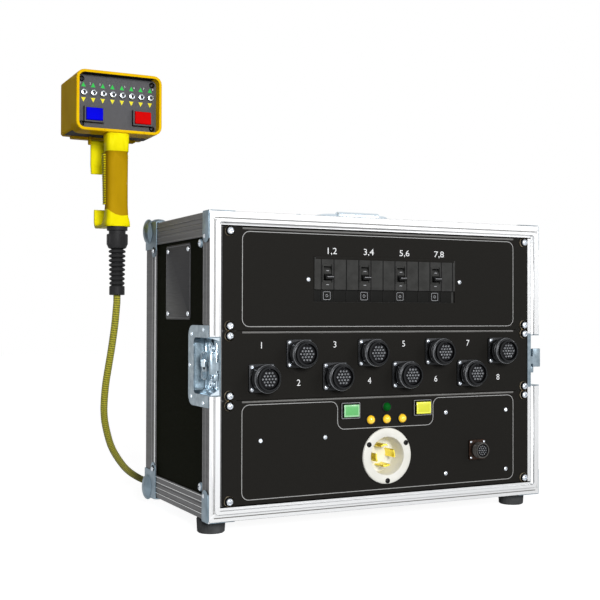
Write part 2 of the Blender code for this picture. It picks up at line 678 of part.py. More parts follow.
def buildBreakers():
    """The breaker panel, the bank of breaker modules behind its window, and their handles."""
    window = (-BREAKER_WINDOW_HALF, BREAKER_WINDOW_HALF, BREAKER_WINDOW_LOW, BREAKER_WINDOW_HIGH)
    rackPanel("breaker_chassis", BREAKER_LOW, BREAKER_HIGH, [rectangle(*window)])
    nose, shoulder, back = PANEL_FACE_Y - 0.0014, PANEL_BACK_Y + GAP, BREAKER_DEPTH
    low, high = BREAKER_NOSE_LOW, BREAKER_NOSE_HIGH
    profile = [(nose, low), (nose, high), (shoulder, high), (shoulder, high + BREAKER_ABOVE),
               (back - 0.006, high + BREAKER_ABOVE), (back - 0.006, high - 0.004), (back, high - 0.004),
               (back, low + 0.004), (back - 0.006, low + 0.004), (back - 0.006, low - BREAKER_BELOW),
               (shoulder, low - BREAKER_BELOW), (shoulder, low)]
    width = 2 * (BREAKER_WINDOW_HALF - SLIDE_GAP)
    bank = add("breaker_bank", outlineMesh([profile], width), "black_plastic", turn=FACING_RIGHT)
    slots = []
    half, room = HANDLE_WIDTH / 2 + SLIDE_GAP, 0.0125
    for number in range(BREAKER_COUNT):
        x = HANDLE_FIRST_X + HANDLE_PITCH * number
        slots.append(((x - half, -0.010, HANDLE_PIVOT_Z - room),
                      (x + half, HANDLE_PIVOT_Y + 0.014, HANDLE_PIVOT_Z + room)))
        breakerHandle("breaker_handle_%d" % (number + 1), x)
    cut(bank, [add("handle slots", boxesMesh(slots))])


def breakerHandle(name, x):
    """A breaker's handle: a hub with a lever that rests below straight out."""
    rest = 180 + HANDLE_TILT
    tip = math.radians(rest)
    reach = HANDLE_REACH - 0.002
    outline = arc(0, 0, 0.0052, rest + 50, rest + 310, 11)
    outline += arc(reach * math.cos(tip), reach * math.sin(tip), 0.002, rest - 90, rest + 90, 5)
    place = (x, HANDLE_PIVOT_Y, HANDLE_PIVOT_Z)
    handle = outlineMesh([outline], HANDLE_WIDTH)
    bevel(add(name, handle, "black_plastic", place, FACING_RIGHT), 0.0005, 1)


def buildConnectors():
    """The output panel with its two staggered rows of motor connectors."""
    holes = [circle(x, z, CONNECTOR_BARREL_DIAMETER / 2 + 0.001, 16) for x, z in connectorPlaces()]
    rackPanel("output_chassis", OUTPUT_LOW, BREAKER_LOW, holes)
    half, sheet = CONNECTOR_FLANGE / 2, 0.003
    flange = outlineMesh([rounded(-half, half, -half, half, 0.003, 3)], sheet)
    seat = PANEL_FACE_Y - GAP
    flange = add("connector flange", flange, None, (0, seat - sheet / 2, 0), FACING_FRONT)
    ring, barrel = CONNECTOR_RING_DIAMETER / 2, CONNECTOR_BARREL_DIAMETER / 2
    front = CONNECTOR_FRONT - PANEL_FACE_Y
    profile = [(0, front - 0.0025), (ring - 0.003, front - 0.0025), (ring - 0.0026, front),
               (ring - 0.0008, front), (ring, front - 0.0012), (ring, front - 0.009),
               (ring - 0.0018, front - 0.0098), (ring - 0.0018, OVERLAP - seat),
               (barrel, OVERLAP - seat), (barrel, -0.020), (0, -0.020)]
    shell = turned("connector shell", profile, None, (0, 0, 0), FACING_FRONT, 16)
    combine(flange, [shell])
    bpy.context.view_layer.update()
    mesh = finished(flange)
    mesh.transform(flange.matrix_local)
    bpy.data.objects.remove(flange, do_unlink=True)
    for number, (x, z) in enumerate(connectorPlaces(), 1):
        add("connector_%d" % number, smooth(mesh.copy()), "black_steel", (x, 0, z))


def buildInput():
    """The input panel: power inlet, remote socket, two push buttons and four lamps."""
    wide, tall = BUTTON_WIDTH / 2 + SLIDE_GAP, BUTTON_HEIGHT / 2 + SLIDE_GAP
    holes = [rectangle(x - wide, x + wide, BUTTON_Z - tall, BUTTON_Z + tall)
             for x in (-BUTTON_X, BUTTON_X)]
    # the lamps' holes have other numbers of sides in turn, so that no three corners line up
    holes += [circle(x, z, LAMP_DIAMETER / 2 + SLIDE_GAP, 12 + 2 * (i % 2))
              for i, (x, z) in enumerate(lampPlaces())]
    cup = INLET_RECESS_DIAMETER / 2 + 0.0025
    holes += [circle(0, INLET_Z, cup + 0.001, 24)]
    holes += [circle(REMOTE_X, REMOTE_Z, 0.0112, 16)]
    panel = rackPanel("input_chassis", INPUT_LOW, OUTPUT_LOW, holes)
    bezels = []
    for x in (-BUTTON_X, BUTTON_X):
        rim = [rectangle(x - wide - BEZEL_RIM, x + wide + BEZEL_RIM,
                         BUTTON_Z - tall - BEZEL_RIM, BUTTON_Z + tall + BEZEL_RIM),
               rectangle(x - wide - BEZEL_EASE, x + wide + BEZEL_EASE,
                         BUTTON_Z - tall - BEZEL_EASE, BUTTON_Z + tall + BEZEL_EASE)]
        bezel = outlineMesh(rim, 0.0018 + OVERLAP)
        place = (0, PANEL_FACE_Y + (OVERLAP - 0.0018) / 2, 0)
        bezels.append(add("button bezel", bezel, None, place, FACING_FRONT))
    combine(panel, bezels)
    pushButton("green_button", -BUTTON_X, "green_plastic")
    pushButton("yellow_button", BUTTON_X, "yellow_plastic")
    buildLamps()
    buildInlet(cup)
    buildRemoteSocket()


def pushButton(name, x, finish):
    """A push button: a cap that slides in its guide, held by a lip behind the panel."""
    wide, tall = BUTTON_WIDTH / 2, BUTTON_HEIGHT / 2
    front = PANEL_FACE_Y - BUTTON_PROUD
    lip_y = PANEL_BACK_Y + GAP
    cap = boxMesh((-wide, 0, -tall), (wide, lip_y + 0.001 - front, tall))
    cap = bevel(add(name, cap, finish, (x, front, BUTTON_Z)), 0.0012, 2)
    lip = boxMesh((-wide - 0.0018, lip_y - front, -tall - 0.0018),
                  (wide + 0.0018, lip_y - front + 0.0015, tall + 0.0018))
    combine(cap, [add("button lip", lip, None, (x, front, BUTTON_Z))])


def buildLamps():
    """Four domed lamps on one board behind the panel."""
    seat = PANEL_BACK_Y + GAP
    half = LAMP_PITCH + LAMP_DIAMETER / 2 + 0.002
    board = boxMesh((-half, seat, LAMP_LOW_Z - 0.008), (half, seat + 0.0015, LAMP_HIGH_Z + 0.008))
    board = add("lamp_board", board, "amber_plastic")
    radius = LAMP_DIAMETER / 2
    profile = [(0, 0.0042), (radius * 0.4, 0.0038), (radius * 0.75, 0.0026), (radius * 0.95, 0.0008),
               (radius, -PANEL_FACE_Y), (radius, -seat - OVERLAP), (0, -seat - OVERLAP)]
    domes = [turned("lamp dome", profile, None, (x, 0, z), FACING_FRONT, 12)
             for x, z in lampPlaces()]
    combine(board, domes)


def buildInlet(cup):
    """The recessed power inlet: a flanged cup with four curved blades inside."""
    wide, bore = INLET_DIAMETER / 2, INLET_RECESS_DIAMETER / 2
    seat = GAP - PANEL_FACE_Y
    floor = seat + 0.006 - INLET_DEPTH
    profile = [(0, floor), (bore, floor), (bore, 0.005), (bore + 0.001, 0.006),
               (bore + 0.004, 0.006), (bore + 0.005, 0.005), (bore + 0.005, seat + 0.003),
               (wide - 0.0006, seat + 0.003), (wide, seat + 0.0024), (wide, seat), (cup, seat),
               (cup, floor - 0.003), (0, floor - 0.003)]
    inlet = turned("inlet", profile, "white_plastic", (0, 0, INLET_Z), FACING_FRONT, 24)
    blades = []
    length = 0.022
    for quarter in range(4):
        start = BLADE_TURN + 90 * quarter - 20
        shape = arc(0, 0, 0.0155, start, start + 40, 5) + arc(0, 0, 0.0135, start + 40, start, 5)
        place = (0, -floor + OVERLAP - length / 2, INLET_Z)
        blades.append(add("inlet blade", outlineMesh([shape], length), None, place, FACING_FRONT))
    combine(inlet, blades)


def buildRemoteSocket():
    """The small square-flanged socket for a remote."""
    half, sheet, seat = REMOTE_FLANGE / 2, 0.0025, PANEL_FACE_Y - GAP
    flange = outlineMesh([rounded(-half, half, -half, half, 0.002, 3)], sheet)
    place = (REMOTE_X, seat - sheet / 2, REMOTE_Z)
    socket = add("remote_socket", flange, "black_steel", place, FACING_FRONT)
    front = REMOTE_FRONT - PANEL_FACE_Y
    profile = [(0, 0.004), (0.0085, 0.004), (0.0085, front), (0.0105, front), (0.0115, front - 0.001),
               (0.0115, 0.003), (0.0105, 0.003), (0.0105, -0.016), (0, -0.016)]
    shell = turned("socket shell", profile, None, (REMOTE_X, 0, REMOTE_Z), FACING_FRONT, 16)
    combine(socket, [shell])


def buildLatches():
    """The two recessed latches: a pressed dish with its flange, and a turning wing in it."""
    outer_x = CASE_HALF + GAP
    middle_x = outer_x + DISH_SHEET / 2
    low, high = POCKET_LOW - DISH_FLANGE, POCKET_HIGH + DISH_FLANGE
    rear = LATCH_POCKET_DEPTH + DISH_FLANGE + 0.004
    shape = arc(rear - 0.014, low + 0.014, 0.014, -90, 0, 5)
    shape += arc(rear - 0.014, high - 0.014, 0.014, 0, 90, 5) + [(0.0015, high), (0.0015, low)]
    dish = outlineMesh([shape], DISH_SHEET)
    dish = add("dish flange", dish, None, (middle_x, 0, 0), FACING_RIGHT)
    tray_x = CASE_HALF - LATCH_POCKET_IN - 0.0012 + GAP
    end = LATCH_POCKET_DEPTH - GAP
    tray = trayOutline(0.0005, end, POCKET_LOW + GAP, POCKET_HIGH - GAP, 0.008)
    tray = outlineMesh([tray], middle_x - tray_x)
    tray = add("dish tray", tray, None, ((middle_x + tray_x) / 2, 0, 0), FACING_RIGHT)
    inside = trayOutline(-0.010, end - DISH_SHEET, POCKET_LOW + GAP + DISH_SHEET,
                         POCKET_HIGH - GAP - DISH_SHEET, 0.0068)
    floor_x = tray_x + DISH_SHEET
    inside = outlineMesh([inside], 0.030)
    inside = add("dish hollow", inside, None, (floor_x + 0.015, 0, 0), FACING_RIGHT)
    wide, tall = 0.0095, LATCH_POCKET_HEIGHT / 2 - 0.00575
    base = rounded(WING_PIVOT_Y - wide, WING_PIVOT_Y + wide, LATCH_Z - tall, LATCH_Z + tall, wide - 0.0001, 6)
    base = outlineMesh([base], 0.0025)
    base = add("latch base", base, None, (floor_x + 0.00075, 0, 0), FACING_RIGHT)
    post = rodMesh(0.0045, (floor_x, WING_PIVOT_Y, LATCH_Z), (floor_x + 0.008, WING_PIVOT_Y, LATCH_Z), 14)
    hook = boxMesh((floor_x + 0.0012, 0.0015, LATCH_Z - 0.0055), (floor_x + 0.0032, 0.026, LATCH_Z + 0.0055))
    nose = boxMesh((floor_x + 0.0012, 0.0015, LATCH_Z - 0.0055), (floor_x + 0.0065, 0.0038, LATCH_Z + 0.0055))
    combine(dish, [tray])
    cut(dish, [inside])
    combine(dish, [base, add("latch post", post), add("latch hook", hook), add("hook nose", nose)])
    bpy.context.view_layer.update()
    mesh = finished(dish)
    mesh.transform(dish.matrix_local)
    bpy.data.objects.remove(dish, do_unlink=True)
    add("latch_dish_right", smooth(mesh.copy()), "chrome")
    add("latch_dish_left", mirrored(mesh, x=-1), "chrome")
    buildWings(floor_x + 0.0065)


def trayOutline(front, rear, low, high, radius):
    """The pocket's outline seen from the side: open at the front, round at the rear."""
    return (arc(rear - radius, low + radius, radius, -90, 0, 5)
            + arc(rear - radius, high - radius, radius, 0, 90, 5) + [(front, high), (front, low)])


def buildWings(start_x):
    """The latches' wings: a hub that turns on the dish's post, with a folded tab."""
    half = WING_LENGTH / 2
    bore = circle(0, 0, 0.0045 + SLIDE_GAP, 14)
    hub = outlineMesh([circle(0, 0, 0.0085, 14), bore], 0.003)
    hub = add("wing hub", hub, None, (start_x + 0.0015, WING_PIVOT_Y, LATCH_Z), FACING_RIGHT)
    tab = rounded(-0.0085, 0.0085, -half, half, 0.006, 4)
    tab = outlineMesh([tab, bore], 0.0016)
    place = (start_x + 0.0034, WING_PIVOT_Y, LATCH_Z)
    tab = add("wing tab", tab, None, place, FACING_RIGHT)
    grip = boxMesh((0, -0.001, 0.0075), (0.0045, 0.001, half - 0.002))
    grips = [add("wing grip", grip, None, place), add("wing grip", mirrored(grip, z=-1), None, place)]
    combine(hub, [tab] + grips)
    bpy.context.view_layer.update()
    mesh = finished(hub)
    mesh.transform(hub.matrix_local)
    mesh.transform(Matrix.Translation((-start_x, -WING_PIVOT_Y, -LATCH_Z)))
    bpy.data.objects.remove(hub, do_unlink=True)
    add("latch_wing_right", smooth(mesh.copy()), "chrome", (start_x, WING_PIVOT_Y, LATCH_Z))
    add("latch_wing_left", mirrored(mesh, x=-1), "chrome", (-start_x, WING_PIVOT_Y, LATCH_Z))


def buildTopHandle():
    """The lifting handle on the top: a plate with two ears, and a bail that lies flat."""
    seat = CASE_HIGH - BOARD_OUT + GAP
    half, reach = BAIL_HALF, BAIL_REACH
    pivot_y, pivot_z = PLATE_FRONT_Y + BAIL_BACK, CASE_HIGH + BAIL_UP
    ear_x = half + 0.0085
    plate_end = PLATE_FRONT_Y + PLATE_LENGTH
    plate = outlineMesh([rounded(-PLATE_HALF, PLATE_HALF, PLATE_FRONT_Y, plate_end, 0.008)], 0.0015)
    plate = add("top_handle_plate", plate, "chrome", (0, 0, seat + 0.00075))
    rod, pin = BAIL_ROD, BAIL_ROD + SLIDE_GAP
    ears = []
    base_z = seat + 0.0010
    for side in (-1, 1):
        top = arc(pivot_y, pivot_z, 0.0085, 0, 180, 8)
        shape = top + [(pivot_y - 0.0085, base_z), (pivot_y + 0.0085, base_z)]
        ear = outlineMesh([shape, circle(pivot_y, pivot_z, pin, 12)], 0.005)
        ears.append(add("handle ear", ear, None, (side * ear_x, 0, 0), FACING_RIGHT))
    combine(plate, ears)
    bend = 0.014
    side = [(half, 0.0), (half, -reach + bend)]
    corner = [(half - bend + x, -reach + bend + y) for x, y in arc(0, 0, bend, 0, -90, 6)]
    path = [(ear_x + 0.003, 0.0)] + side + corner[1:]
    path += [(-x, y) for x, y in reversed(path)]
    bail = tubeMesh([(x, y, 0.0) for x, y in path], rod, 2)
    bail = add("top_handle_bail", bail, "chrome", (0, pivot_y, pivot_z))
    grip = rodMesh(0.0072, (-BAIL_GRIP_HALF, -reach, 0), (BAIL_GRIP_HALF, -reach, 0), 12)
    grip = bevel(add("bail grip", grip, None, (0, pivot_y, pivot_z)), 0.0015, 2)
    combine(bail, [grip])


def tubeMesh(points, radius, resolution):
    """A closed tube along points."""
    curve = bpy.data.curves.new("tube", "CURVE")
    curve.dimensions = "3D"
    curve.bevel_depth = radius
    curve.bevel_resolution = resolution
    curve.use_fill_caps = True
    curve.render_resolution_u = 0
    spline = curve.splines.new("POLY")
    spline.points.add(len(points) - 1)
    for point, place in zip(spline.points, points):
        point.co = (*place, 1.0)
    return meshFromCurve(curve)


def buildPendant():
    """The pendant's housing: a deep bezel, a smaller rear part and the trigger's two lugs."""
    half_x, half_z = PENDANT_WIDTH / 2, PENDANT_HEIGHT / 2
    bezel = outlineMesh([rounded(-half_x, half_x, -half_z, half_z, PENDANT_CORNER, 5)],
                        PENDANT_BEZEL_DEPTH)
    at = (PENDANT_X, PENDANT_FACE_Y + PENDANT_BEZEL_DEPTH / 2, PENDANT_Z)
    housing = bevel(add("pendant_housing", bezel, "yellow_plastic", at, FACING_FRONT), 0.0012, 1)
    half_x, half_z = PENDANT_BODY_WIDTH / 2, PENDANT_BODY_HEIGHT / 2
    start = PENDANT_BEZEL_DEPTH - OVERLAP
    length = PENDANT_DEPTH - start
    body = outlineMesh([rounded(-half_x, half_x, -half_z, half_z, PENDANT_CORNER / 3, 5)], length)
    at = (PENDANT_X, PENDANT_FACE_Y + start + length / 2, PENDANT_Z)
    body = bevel(add("pendant body", body, None, at, FACING_FRONT), 0.0018, 2)
    low = PENDANT_Z - half_z
    bar = boxMesh((PENDANT_X - 0.0495, PENDANT_BACK_Y - 0.016, low - 0.0037),
                  (PENDANT_X + 0.0495, PENDANT_BACK_Y - 0.0005, low + 0.006))
    bar = bevel(add("pendant bar", bar), 0.0015, 2)
    lugs = []
    bore = circle(TRIGGER_Y, TRIGGER_Z, 0.0015 + SLIDE_GAP, 16)
    for side in (-1, 1):
        shape = arc(TRIGGER_Y, TRIGGER_Z, 0.0045, 180, 360, 8)
        shape += [(TRIGGER_Y + 0.0045, low + 0.004), (TRIGGER_Y - 0.0045, low + 0.004)]
        x = PENDANT_X + side * (TRIGGER_WIDTH / 2 + SLIDE_GAP + 0.0015)
        lug = outlineMesh([shape, bore], 0.003)
        lugs.append(add("trigger lug", lug, None, (x, 0, 0), FACING_RIGHT))
    room = rounded(-PENDANT_WIDTH / 2 + PENDANT_RIM, PENDANT_WIDTH / 2 - PENDANT_RIM,
                   -PENDANT_HEIGHT / 2 + PENDANT_RIM, PENDANT_HEIGHT / 2 - PENDANT_RIM,
                   PENDANT_CORNER - PENDANT_RIM, 5)
    depth = RECESS_DEPTH + FACE_PLATE + GAP
    room = outlineMesh([room], depth + 0.002)
    at = (PENDANT_X, PENDANT_FACE_Y + depth / 2 - 0.001, PENDANT_Z)
    combine(housing, [body, bar] + lugs)
    cut(housing, [add("pendant recess", room, None, at, FACING_FRONT)])


def togglePlaces():
    """X of the toggles, from the pendant's middle."""
    return [TOGGLE_PITCH * (i - (TOGGLE_COUNT - 1) / 2) for i in range(TOGGLE_COUNT)]


def buildPendantFace():
    """The plate in the pendant's recess, with the toggles' bushes and the keys' guides on it."""
    face_y = PENDANT_FACE_Y + RECESS_DEPTH
    inset = PENDANT_RIM + GAP
    half_x, half_z = PENDANT_WIDTH / 2 - inset, PENDANT_HEIGHT / 2 - inset
    plate = outlineMesh([rounded(-half_x, half_x, -half_z, half_z, PENDANT_CORNER - inset, 5)],
                        FACE_PLATE)
    at = (PENDANT_X, face_y + FACE_PLATE / 2, PENDANT_Z)
    plate = add("pendant_face", plate, "grey_plastic", at, FACING_FRONT)
    rims = []
    for x in togglePlaces():
        rims += [circle(x, TOGGLE_Z, TOGGLE_BUSH_RADIUS, 10),
                 circle(x, TOGGLE_Z, TOGGLE_BALL + SLIDE_GAP + 0.0001, 10)]
    for x in (GO_X, STOP_X):
        wide, tall = KEY_WIDTH / 2 + SLIDE_GAP, KEY_HEIGHT / 2 + SLIDE_GAP
        rims += [rectangle(x - wide - 0.0018, x + wide + 0.0018,
                           KEY_Z - tall - 0.0018, KEY_Z + tall + 0.0018),
                 rectangle(x - wide, x + wide, KEY_Z - tall, KEY_Z + tall)]
    rims = outlineMesh(rims, TOGGLE_BUSH_PROUD + OVERLAP)
    at = (PENDANT_X, face_y + (OVERLAP - TOGGLE_BUSH_PROUD) / 2, PENDANT_Z)
    combine(plate, [add("bushes and guides", rims, None, at, FACING_FRONT)])
    pivot_y = face_y - TOGGLE_BALL - SLIDE_GAP
    for number, x in enumerate(togglePlaces(), 1):
        toggle("toggle_%d" % number, (PENDANT_X + x, pivot_y, PENDANT_Z + TOGGLE_Z))
    pendantKey("go_button", GO_X, "blue_plastic")
    pendantKey("stop_button", STOP_X, "red_plastic")


def toggle(name, place):
    """A bat-handled toggle on its ball."""
    profile = [(0, TOGGLE_REACH), (0.0016, TOGGLE_REACH - 0.0004), (0.0024, TOGGLE_REACH - 0.0016),
               (0.0023, TOGGLE_REACH - 0.004), (0.0014, 0.0036)]
    profile += arc(0, 0, TOGGLE_BALL, 52, -62, 4) + [(0, -TOGGLE_BALL)]
    turned(name, profile, "chrome", place, FACING_FRONT, 8)


def pendantKey(name, x, finish):
    """One of the pendant's large keys, sliding in its guide."""
    wide, tall = KEY_WIDTH / 2, KEY_HEIGHT / 2
    front = PENDANT_FACE_Y + RECESS_DEPTH - KEY_PROUD
    length = KEY_PROUD - KEY_TRAVEL - SLIDE_GAP
    key = boxMesh((-wide, 0, -tall), (wide, length, tall))
    bevel(add(name, key, finish, (PENDANT_X + x, front, PENDANT_Z + KEY_Z)), 0.0013, 2)


def loftMesh(sections):
    """A closed shape through rings that have the same number of points."""
    shape = bmesh.new()
    rings = [[shape.verts.new(point) for point in ring] for ring in sections]
    count = len(rings[0])
    for one, two in zip(rings, rings[1:]):
        for i in range(count):
            j = (i + 1) % count
            shape.faces.new((one[i], one[j], two[j], two[i]))
    shape.faces.new(list(reversed(rings[0])))
    shape.faces.new(rings[-1])
    bmesh.ops.recalc_face_normals(shape, faces=shape.faces)
    mesh = bpy.data.meshes.new("loft")
    shape.to_mesh(mesh)
    shape.free()
    return smooth(mesh)


def buildGrip():
    """The pendant's grip, lofted from its collar to its foot, with the hook behind it."""
    top = PENDANT_Z - PENDANT_HEIGHT / 2 - GAP
    half = GRIP_WIDTH / 2
    front, back, foot = GRIP_FRONT_Y, GRIP_BACK_Y, GRIP_FOOT_Z
    wide = HOOK_WIDTH / 2
    # how far up from the foot, half the width, front and back
    sizes = [(1, half + 0.0015, front - 0.001, back + 0.004), (0.8084, half + 0.0008, front, back + 0.003),
             (0.8047, half, front + 0.0008, back + 0.0015), (0.6706, half, front, back),
             (0.4495, half, front + 0.0004, back - 0.001), (0.2284, half, front, back),
             (0.1105, half + 0.0006, front - 0.001, back + 0.002),
             (0.0442, wide, front - 0.003, back + 0.004), (0, wide, front - 0.004, back + 0.005)]
    rings = [[(x, y, foot + (top - foot) * part) for x, y in rounded(-w, w, low, high, 0.007, 4)]
             for part, w, low, high in sizes]
    grip = add("pendant_grip", loftMesh(rings), "yellow_plastic", (PENDANT_X, 0, 0))
    bend, sheet, end = 0.012, HOOK_SHEET, HOOK_BACK_Y
    hook = [(back - 0.008, foot)] + arc(end - bend, foot + bend, bend, -90, 0, 6)
    hook += arc(end - sheet / 2, HOOK_TIP_Z - sheet / 2, sheet / 2, 0, 180, 5)
    hook += arc(end - bend, foot + bend, bend - sheet, 0, -90, 6) + [(back - 0.008, foot + sheet)]
    hook = outlineMesh([hook], HOOK_WIDTH - 0.001)
    combine(grip, [add("grip hook", hook, None, (PENDANT_X, 0, 0), FACING_RIGHT)])


def buildTrigger():
    """The paddle behind the grip, hanging from its pins in the housing's lugs."""
    length, sheet = TRIGGER_LENGTH, TRIGGER_SHEET
    outline = arc(0, 0, 0.0032, 0, 180, 8)
    outline += [(-sheet / 2, -0.004), (-sheet / 2, -length * 0.7), (-sheet / 2 - 0.003, -length + 0.002)]
    outline += [(-sheet / 2 - 0.002, -length), (sheet / 2 - 0.003, -length)]
    outline += [(sheet / 2, -length * 0.7), (sheet / 2, -0.004)]
    place = (PENDANT_X, TRIGGER_Y, TRIGGER_Z)
    paddle = add("trigger", outlineMesh([outline], TRIGGER_WIDTH), "yellow_plastic", place, FACING_RIGHT)
    reach = TRIGGER_WIDTH / 2 + 0.0030
    pins = rodMesh(0.0015, (-reach, 0, 0), (reach, 0, 0), 12)
    combine(paddle, [add("trigger pins", pins, None, place)])


def buildGland():
    """The strain relief: a hexagonal nut, a tapered row of ribs and an end collar."""
    top = GRIP_FOOT_Z - GAP
    nut = bmesh.new()
    low = GRIP_FOOT_Z - GLAND_NUT_HEIGHT
    bmesh.ops.create_cone(nut, cap_ends=True, segments=6, radius1=GLAND_NUT / 2,
                          radius2=GLAND_NUT / 2, depth=top - low,
                          matrix=Matrix.Translation((0, 0, (top + low) / 2)))
    mesh = bpy.data.meshes.new("nut")
    nut.to_mesh(mesh)
    nut.free()
    gland = add("cord_gland", mesh, "black_plastic", (GLAND_X, GLAND_Y, 0))
    wide, narrow, pitch = 0.0128, 0.0113, (GLAND_RIB_TOP_Z - GLAND_RIB_LOW_Z) / GLAND_RIBS
    profile = [(0, low + 0.004), (wide - 0.001, low + 0.004), (wide - 0.001, GLAND_RIB_TOP_Z)]
    for rib in range(GLAND_RIBS):
        radius = wide + (narrow - wide) * rib / (GLAND_RIBS - 1)
        z = GLAND_RIB_TOP_Z - pitch * rib
        profile += [(radius, z - pitch * 0.3), (radius - 0.0024, z - pitch * 0.8)]
    profile += [(narrow, GLAND_RIB_LOW_Z), (narrow, GLAND_END_Z + 0.0008),
                (narrow - 0.0008, GLAND_END_Z), (0, GLAND_END_Z)]
    combine(gland, [turned("gland ribs", profile, None, (GLAND_X, GLAND_Y, 0), FLAT, 16)])


def smoothRoute(places, step):
    """Points at even steps along a smooth curve through the places."""
    places = [Vector(p) for p in places]
    ends = [2 * places[0] - places[1]] + places + [2 * places[-1] - places[-2]]
    fine = []
    for a, b, c, d in zip(ends, ends[1:], ends[2:], ends[3:]):
        for i in range(40):
            t = i / 40
            fine.append(0.5 * ((2 * b) + (c - a) * t + (2 * a - 5 * b + 4 * c - d) * t ** 2
                               + (3 * b - a - 3 * c + d) * t ** 3))
    fine.append(places[-1])
    total = sum((two - one).length for one, two in zip(fine, fine[1:]))
    count = max(2, round(total / step))
    route, walked, target = [fine[0]], 0.0, total / count
    for one, two in zip(fine, fine[1:]):
        walked += (two - one).length
        if walked >= target - 1e-9 and len(route) < count:
            route.append(two)
            target += total / count
    route.append(fine[-1])
    return route


def coilPoints():
    """The coil's centre line: spirals in, turns back in a half turn as it climbs, spirals out."""
    rise, pitch = CORD_DIAMETER + COIL_LAYER_SPACE, CORD_DIAMETER + COIL_SPACE
    low = CORD_DIAMETER / 2 + GAP
    start, end = COIL_ENTRY_ANGLE, COIL_EXIT_ANGLE
    step = 360 / LOOP_POINTS
    inward = COIL_TURNS * LOOP_POINTS
    half = LOOP_POINTS // 2
    outward = round(((start - 180 - end) % 360) / step) + (COIL_TURNS - 1) * LOOP_POINTS
    points = []
    for i in range(inward + half + outward + 1):
        if i <= inward:
            radius, z = COIL_INNER_RADIUS + pitch * (inward - i) / LOOP_POINTS, low
        elif i <= inward + half:
            part = math.pi * (i - inward) / half
            radius = COIL_INNER_RADIUS - pitch / (2 * math.pi) * math.sin(part)
            z = low + rise * (1 - math.cos(part)) / 2
        else:
            radius = COIL_INNER_RADIUS + pitch * (i - inward - half) / LOOP_POINTS
            z = low + rise
        angle = math.radians(start - step * i)
        points.append(Vector((COIL_X + radius * math.cos(angle), COIL_Y + radius * math.sin(angle), z)))
    first = heading(start)
    last = heading(start - step * (len(points) - 1))
    points.insert(0, points[0] - first * CORD_DIAMETER)
    points.append(points[-1] + last * COIL_TAIL)
    return points, first, last


def heading(angle):
    """The way that the clockwise coil runs at an angle round it."""
    return Vector((math.sin(math.radians(angle)), -math.cos(math.radians(angle)), 0.0))


def leastGap(points):
    """The least space between stretches of the coil that aren't neighbours along it."""
    least = 1.0
    for i, one in enumerate(points):
        for two in points[i + LOOP_POINTS // 2:]:
            least = min(least, (two - one).length)
    return least - CORD_DIAMETER


def buildCord():
    """The cord from the gland to the floor, the coil that it runs into, and its plug."""
    points, first, last = coilPoints()
    print("least gap in the coil, mm: %.2f" % (leastGap(points) * 1000))
    radius = CORD_DIAMETER / 2
    add("cord_coil", tubeMesh(points, radius, 1), "braid")
    end = points[0] - first * GAP
    start = Vector((GLAND_X, GLAND_Y, GLAND_END_Z - GAP))
    route = [start - Vector((0, 0, CORD_DIAMETER))] + CORD_ROUTE
    route += [end - first * 0.026, end - first * CORD_DIAMETER]
    path = [start] + smoothRoute(route, 2.2 * CORD_DIAMETER) + [end]
    add("cord", tubeMesh(path, radius, 2), "braid")
    wide, length = points[-1].z - GAP, PLUG_LENGTH
    profile = [(0, length - 0.010), (wide - 0.005, length - 0.010), (wide - 0.0045, length),
               (wide - 0.003, length), (wide - 0.003, length - 0.012), (wide, length - 0.013),
               (wide, length - 0.031), (wide - 0.003, length - 0.032), (wide - 0.003, length - 0.044),
               (wide - 0.006, length - 0.052), (wide - 0.006, 0.008), (wide - 0.008, 0.007),
               (wide - 0.008, 0), (0, 0)]
    turn = last.to_track_quat("Z", "Y").to_euler()
    turned("plug", profile, "black_plastic", points[-1] + last * GAP, turn, 20)


buildFrontFrame()
buildEdgeFrame()
buildBoards()
buildCorners()
buildFeet()
buildBreakers()
buildConnectors()
buildInput()
buildLatches()
buildTopHandle()
buildPendant()
buildPendantFace()
buildGrip()
buildTrigger()
buildGland()
buildCord()
bpy.context.view_layer.update()
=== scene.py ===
import math

import bmesh
import bpy
from mathutils import Euler, Matrix, Vector


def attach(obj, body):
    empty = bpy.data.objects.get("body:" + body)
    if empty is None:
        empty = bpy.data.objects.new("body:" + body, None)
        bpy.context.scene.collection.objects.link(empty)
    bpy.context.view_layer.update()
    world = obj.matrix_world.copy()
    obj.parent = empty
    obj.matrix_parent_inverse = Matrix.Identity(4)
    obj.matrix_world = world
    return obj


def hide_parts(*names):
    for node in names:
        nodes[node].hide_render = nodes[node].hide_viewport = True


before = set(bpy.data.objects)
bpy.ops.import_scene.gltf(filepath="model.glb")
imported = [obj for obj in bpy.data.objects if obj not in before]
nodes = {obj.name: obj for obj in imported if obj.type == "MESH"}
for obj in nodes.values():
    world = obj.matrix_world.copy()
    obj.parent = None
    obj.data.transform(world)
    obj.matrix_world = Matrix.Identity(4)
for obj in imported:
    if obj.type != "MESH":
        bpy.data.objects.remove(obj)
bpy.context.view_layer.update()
world = bpy.context.scene

# The middle of the case's front face at floor level. Every place below is measured from it.
caseFront = Vector((0.048675, -0.1605, 0.0))
casePlan = {"halfWidth": 0.25975, "low": 0.0195, "high": 0.4122, "panelY": 0.002}
caseEdge = {-1: casePlan["low"], 1: casePlan["high"]}


def spot(x, y, z):
    return caseFront + Vector((x, y, z))


